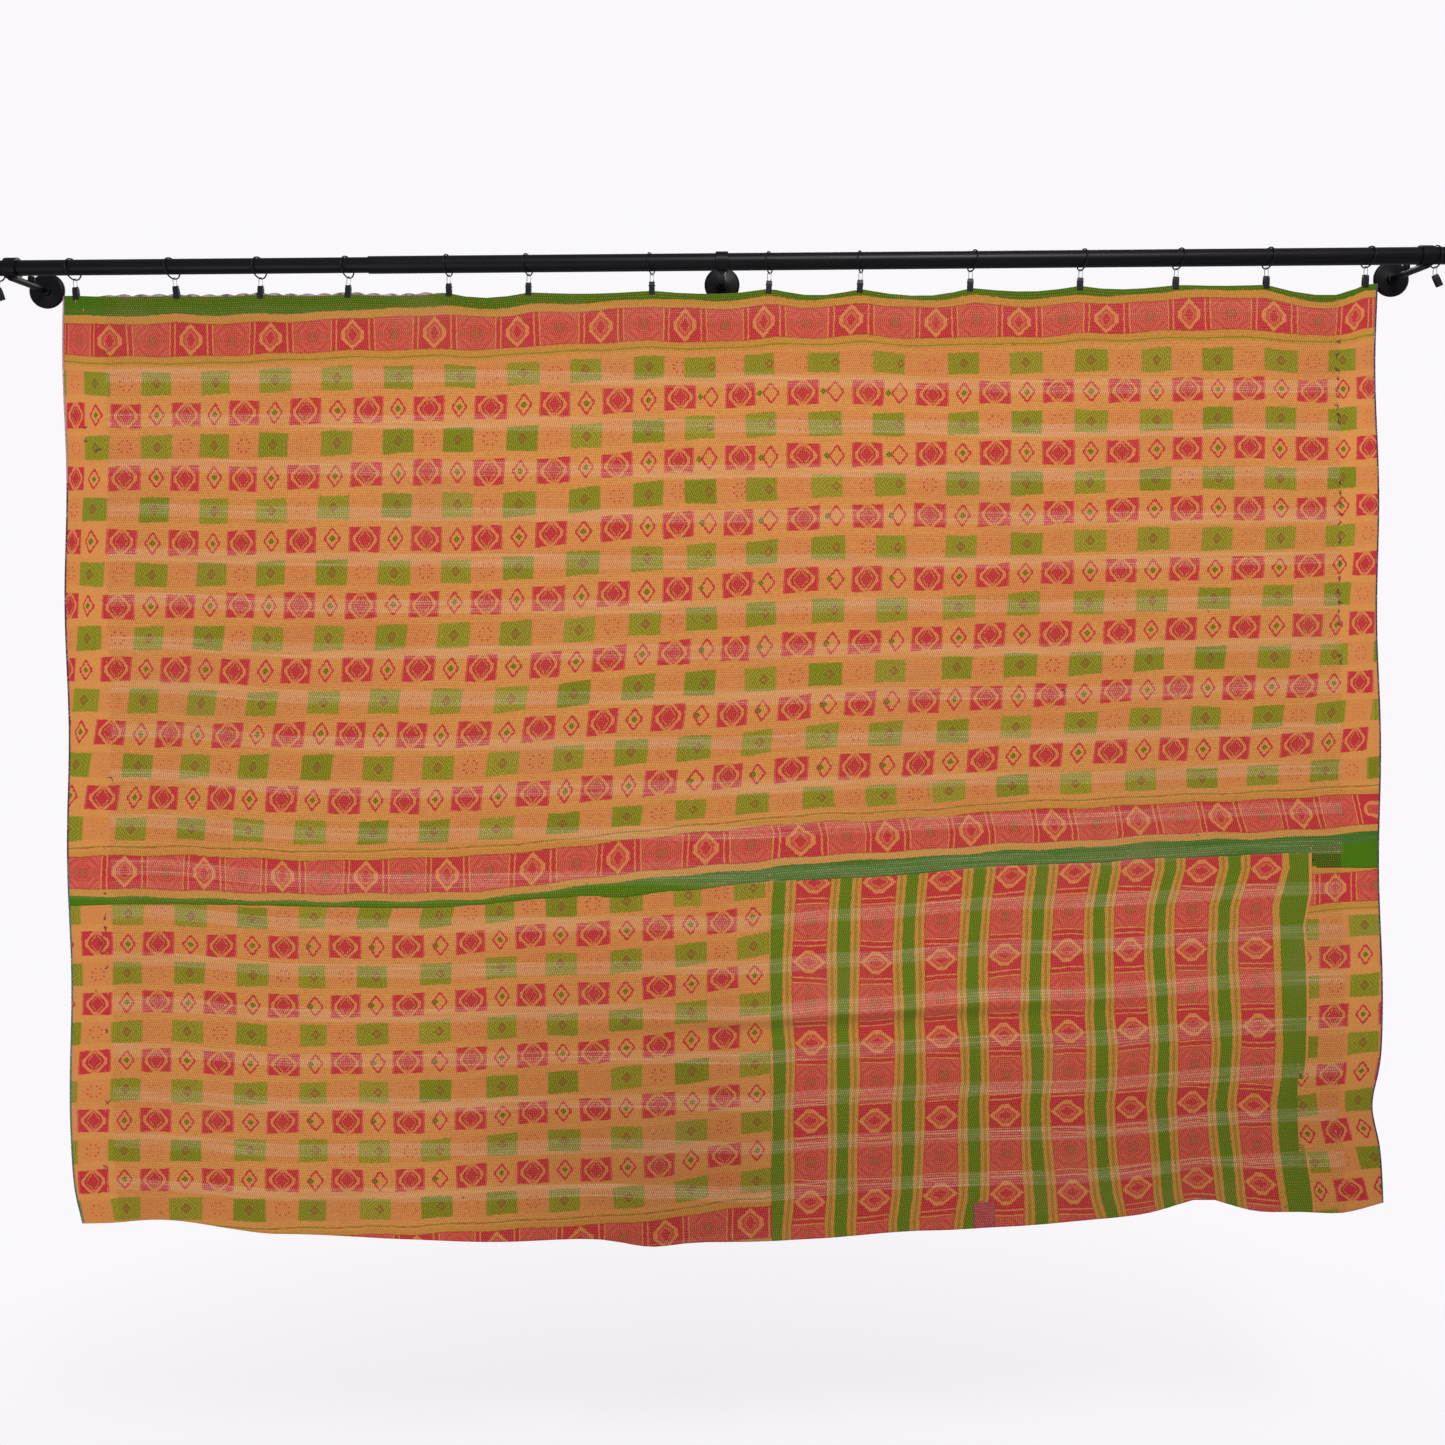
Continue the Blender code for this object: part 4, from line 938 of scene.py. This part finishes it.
def makeIron(name):
    bench = Bench(name)
    base, shadeAndWear, roughness, metallic = ironwork[name]
    place = bench.node("ShaderNodeTexCoord", out=3)
    grain, rub = bench.noise(place, ironwork["specks"], 3.0), bench.noise(place, 9.0, 4.0)
    wear = ((rub - 0.52) * 3).clamped()
    roughness = roughness + (grain - 0.5) * 0.14 + wear * 0.08
    bench.solid(bench.mix(wear * 0.5, base, shadeAndWear), roughness, ironwork["specular"], metallic)
    bench.bump(grain, 0.00012, 0.3)
    return bench.material


rodBlack, ringBlack = makeIron("rodBlack"), makeIron("ringBlack")
clipBlack, loopSilver = makeIron("clipBlack"), makeIron("loopSilver")


def alongX(x):
    return Matrix.Translation((x, hang["rodY"], hang["rodZ"])) @ turned(90, "Y")


def spun(node, profile, place, sides=72, closed=False):
    # a profile of radius and height, spun about its own axis
    verts = []
    for radius, height in profile:
        for k in range(sides):
            angle = 2 * math.pi * k / sides
            verts.append(place @ Vector((radius * math.cos(angle), radius * math.sin(angle), height)))
    piece = putMesh(node + "_dressed", verts, roundFaces(len(profile), sides, closed))
    net = bmesh.new()
    net.from_mesh(piece.data)
    bmesh.ops.recalc_face_normals(net, faces=net.faces)
    for edge in net.edges:
        edge.smooth = edge.calc_face_angle(0) < math.radians(32)
    net.to_mesh(piece.data)
    net.free()
    placed(piece, rodBlack, node)


def softened(profile, size):    # corners cut by two small steps
    made = []
    for i, point in enumerate(profile):
        here = Vector(point)
        before, after = Vector(profile[i - 1]), Vector(profile[(i + 1) % len(profile)])
        if i in (0, len(profile) - 1) or (before - here).length < size * 2 or (after - here).length < size * 2:
            made.append(tuple(here))
            continue
        a, b = here + (before - here).normalized() * size, here + (after - here).normalized() * size
        made += [tuple(a), tuple(a * 0.3 + here * 0.4 + b * 0.3), tuple(b)]
    return made


rod = {"left": -1.220, "right": 1.210, "overlap": 0.160, "wall": 0.0011, "cap": 0.004, "gap": 0.0003,
       "brackets": {"left": -1.135, "middle": 0.0, "right": 1.125}, "collar": 0.0166, "collarWide": 0.020,
       "flange": 0.0296, "flangeThick": 0.007, "hub": 0.0095, "hubFront": 0.013, "arm": 0.0055,
       "knob": 0.0056, "knobTall": 0.0085, "knobY": -0.054, "point": 0.0002}


def tubeRadius(x):
    return hang["narrow"] if x < hang["stepX"] else hang["wide"]


def hollow(outer, inner, length):
    lip = min(0.0004, (outer - inner) * 0.4)
    return [(outer - lip, 0), (outer, lip), (outer, length - lip), (outer - lip, length), (inner, length), (inner, 0)]


spun("rod_inner", hollow(hang["narrow"], hang["narrow"] - rod["wall"], hang["stepX"] + rod["overlap"] - rod["left"]),
     alongX(rod["left"]), closed=True)
spun("rod_outer", hollow(hang["wide"], hang["wide"] - rod["wall"], rod["right"] - hang["stepX"]),
     alongX(hang["stepX"]), closed=True)
for side, x, radius, sign in (("left", rod["left"] - rod["gap"], hang["narrow"], -1),
                              ("right", rod["right"] + rod["gap"], hang["wide"], 1)):
    cap = [(0.0, rod["cap"]), (radius * 0.8, rod["cap"]), (radius * 0.95, rod["cap"] * 0.8), (radius, rod["cap"] * 0.5),
           (radius, 0), (0.0, 0)]
    spun("end_cap_" + side, [(max(r, rod["point"]), h * sign) for r, h in cap], alongX(x))
for side, x in rod["brackets"].items():
    thick, wide, point = rod["flangeThick"], rod["flange"], rod["point"]
    flange = [(point, rod["hubFront"]), (rod["hub"], rod["hubFront"]), (rod["hub"], thick), (wide - 0.003, thick),
              (wide, thick - 0.003), (wide, 0), (point, 0)]
    spun("flange_" + side, softened(flange, 0.0008), Matrix.Translation((x, 0, 0)) @ turned(90, "X"))
    collar = hollow(rod["collar"], tubeRadius(x) + rod["gap"], rod["collarWide"])
    spun("collar_" + side, collar, alongX(x - rod["collarWide"] / 2), closed=True)
    for wall in bpy.data.objects["arm_" + side].material_slots:    # the solid itself, with the saddle cut in its end
        wall.material = rodBlack
    knob, tall = rod["knob"], rod["knobTall"]
    screw = [(point, 0), (knob * 0.9, 0), (knob, 0.0006), (knob, tall - 0.001), (knob * 0.85, tall), (point, tall)]
    spun("screw_" + side, screw, Matrix.Translation((x, rod["knobY"], rod["arm"] + rod["gap"])), sides=24)
print("rod and brackets")

ring = {"radius": 0.0175, "wire": 0.0012, "gap": 0.0005, "loop": 0.0006, "loopHalf": 0.0028, "drop": 0.0115,
        "clipWide": 0.0092, "clipTall": 0.020, "throat": 0.009, "sides": (56, 10)}


def makeRing(tag, x, yaw, lean):
    radius, wire, (major, minor) = ring["radius"], ring["wire"], ring["sides"]
    leaning = math.radians(lean)
    rise = tubeRadius(x) + ring["gap"] - (radius - wire) * math.cos(leaning)
    centre = Vector((x - radius * math.sin(leaning), hang["rodY"], hang["rodZ"] + rise))
    turn = Matrix.Translation(centre) @ turned(-lean, "Y") @ turned(-yaw, "Z")
    verts = []
    for i in range(major):
        a = 2 * math.pi * i / major
        for k in range(minor):
            b = 2 * math.pi * k / minor
            out = radius + wire * math.cos(b)
            verts.append(turn @ Vector((wire * math.sin(b), out * math.sin(a), out * math.cos(a))))
    piece = putMesh("ring_%s_wire" % tag, verts, roundFaces(major, minor, closed=True))
    placed(piece, ringBlack, "ring_" + tag)
    return centre.z - radius * math.cos(leaning)


def makeClip(tag, x, low, tilt, bend=0):
    swing = Matrix.Translation((x, hang["rodY"], low)) @ turned(tilt, "Y")
    swing = swing @ Matrix.Translation((0, 0, -ring["drop"]))
    place = swing @ turned(bend, "Y")
    slot, tall = hang["cloth"] / 2 + rod["gap"], ring["clipTall"]
    half = [(0.0018, 0), (0.0025, -0.0010), (0.0036, -0.0055), (0.0037, -0.0095), (0.0034, -tall + 0.001),
            (0.0030, -tall), (slot, -tall), (slot, -tall + 0.003), (slot + 0.0004, -tall + 0.005),
            (slot + 0.0002, -ring["throat"])]
    outline = half + [(-y, z) for y, z in reversed(half)]
    wide = ring["clipWide"] / 2
    net = bmesh.new()
    sides = [[net.verts.new(place @ Vector((side * wide, y, z))) for y, z in outline] for side in (-1, 1)]
    net.faces.new(sides[0])
    net.faces.new(list(reversed(sides[1])))
    for i in range(len(outline)):
        k = (i + 1) % len(outline)
        net.faces.new((sides[0][k], sides[0][i], sides[1][i], sides[1][k]))
    bmesh.ops.recalc_face_normals(net, faces=net.faces)
    rims = [edge for edge in net.edges if edge.calc_face_angle(0) > math.radians(40)]
    bmesh.ops.bevel(net, geom=rims, offset=0.0004, segments=2, affect="EDGES", profile=0.6)
    # pin through the waist
    for side in (-1, 1):
        pin = bmesh.ops.create_cone(net, cap_ends=True, segments=20, radius1=0.0016, radius2=0.0014, depth=0.0008)
        turn = place @ Matrix.Translation((side * (wide + 0.0003), 0, -0.0062)) @ turned(90 * side, "Y")
        bmesh.ops.transform(net, verts=pin["verts"], matrix=turn)
    mesh = bpy.data.meshes.new("clip_%s_jaws" % tag)
    net.to_mesh(mesh)
    net.free()
    piece = bpy.data.objects.new(mesh.name, mesh)
    scene.collection.objects.link(piece)
    placed(piece, clipBlack, "clip_" + tag)
    # the wire loop between ring and clip: two half rounds
    height, half = ring["drop"] + ring["wire"] + rod["gap"] + ring["loop"], ring["loopHalf"]
    points = []
    for end, centre in ((1, height - half), (-1, -0.0006 + half)):
        for step in range(13):
            angle = math.radians(15 * step)
            points.append(swing @ Vector((half * math.cos(angle) * end, 0, centre + half * math.sin(angle) * end)))
    strands("clip_%s_loop" % tag, [points + points[:1]], ring["loop"], loopSilver, 8)


for i, row in enumerate(hang["clips"]):
    tag = "%02d" % (i + 1)
    makeClip(tag, row[0], makeRing(tag, row[0], row[1], row[2]), row[3])
for tag, (x, yaw, lean, tilt, bend) in hang["spares"].items():
    makeClip(tag, x, makeRing(tag, x, yaw, lean), tilt, bend)
print("rings and clips")


# A pale floor that fades out, a pale surround, and soft lamps
room = {"floor": ink(246, 244, 248), "floorGrain": ink(225, 222, 228), "wall": ink(250, 248, 252), "wallLight": 0.37,
        "fade": (0.6, 2.3), "floorShow": 0.38, "floorRadius": 2.4, "floorPlace": (0, -1.0, -2.06),
        # name, place, aim, size, power
        "lamps": [("key", (0.8, -3.0, 2.3), (0.1, 0, -0.7), 1.1, 131),
                  ("behind", (0.9, 2.9, 0.9), (0, 0, -0.7), 1.8, 46),
                  ("fill", (-1.6, -2.8, -1.5), (0, 0, -0.8), 2.0, 24)]}


def makeFloor():
    bench = Bench("paleFloor")
    bpy.ops.mesh.primitive_circle_add(vertices=96, radius=room["floorRadius"], fill_type="NGON",
                                      location=room["floorPlace"])
    floor = bpy.context.object
    floor.name = "floor"
    floor.data.materials.append(bench.material)
    place = bench.node("ShaderNodeTexCoord", out=3)
    reach = bench.node("ShaderNodeVectorMath", {"operation": "LENGTH"}, (place,), out=1)
    bench.solid(bench.mix(bench.noise(place, 60.0, 3.0) * 0.05, room["floor"], room["floorGrain"]), 0.75)
    near, far = room["fade"]
    bench.feed(bench.shader.inputs["Alpha"], ((far - reach) / (far - near)).clamped() * room["floorShow"])


def makeRoom():
    world = bpy.data.worlds.new("paleRoom")
    world.use_nodes = True
    tree = world.node_tree
    soft = tree.nodes["Background"]
    soft.inputs["Color"].default_value, soft.inputs["Strength"].default_value = room["wall"], room["wallLight"]
    seen = tree.nodes.new("ShaderNodeBackground")
    seen.inputs["Color"].default_value = room["wall"]
    path, choice = tree.nodes.new("ShaderNodeLightPath"), tree.nodes.new("ShaderNodeMixShader")
    for start, end in ((path.outputs["Is Camera Ray"], choice.inputs[0]), (soft.outputs[0], choice.inputs[1]),
                       (seen.outputs[0], choice.inputs[2]), (choice.outputs[0], tree.nodes["World Output"].inputs[0])):
        tree.links.new(start, end)
    scene.world = world
    for name, place, aim, size, power in room["lamps"]:
        data = bpy.data.lights.new(name, "AREA")
        data.shape, data.size, data.energy = "DISK", size, power
        lamp = bpy.data.objects.new(name, data)
        lamp.visible_camera = False
        turn = (Vector(aim) - Vector(place)).to_track_quat("-Z", "Y").to_matrix().to_4x4()
        lamp.matrix_world = Matrix.Translation(place) @ turn
        scene.collection.objects.link(lamp)


makeFloor()
makeRoom()
scene.view_settings.view_transform = "Standard"
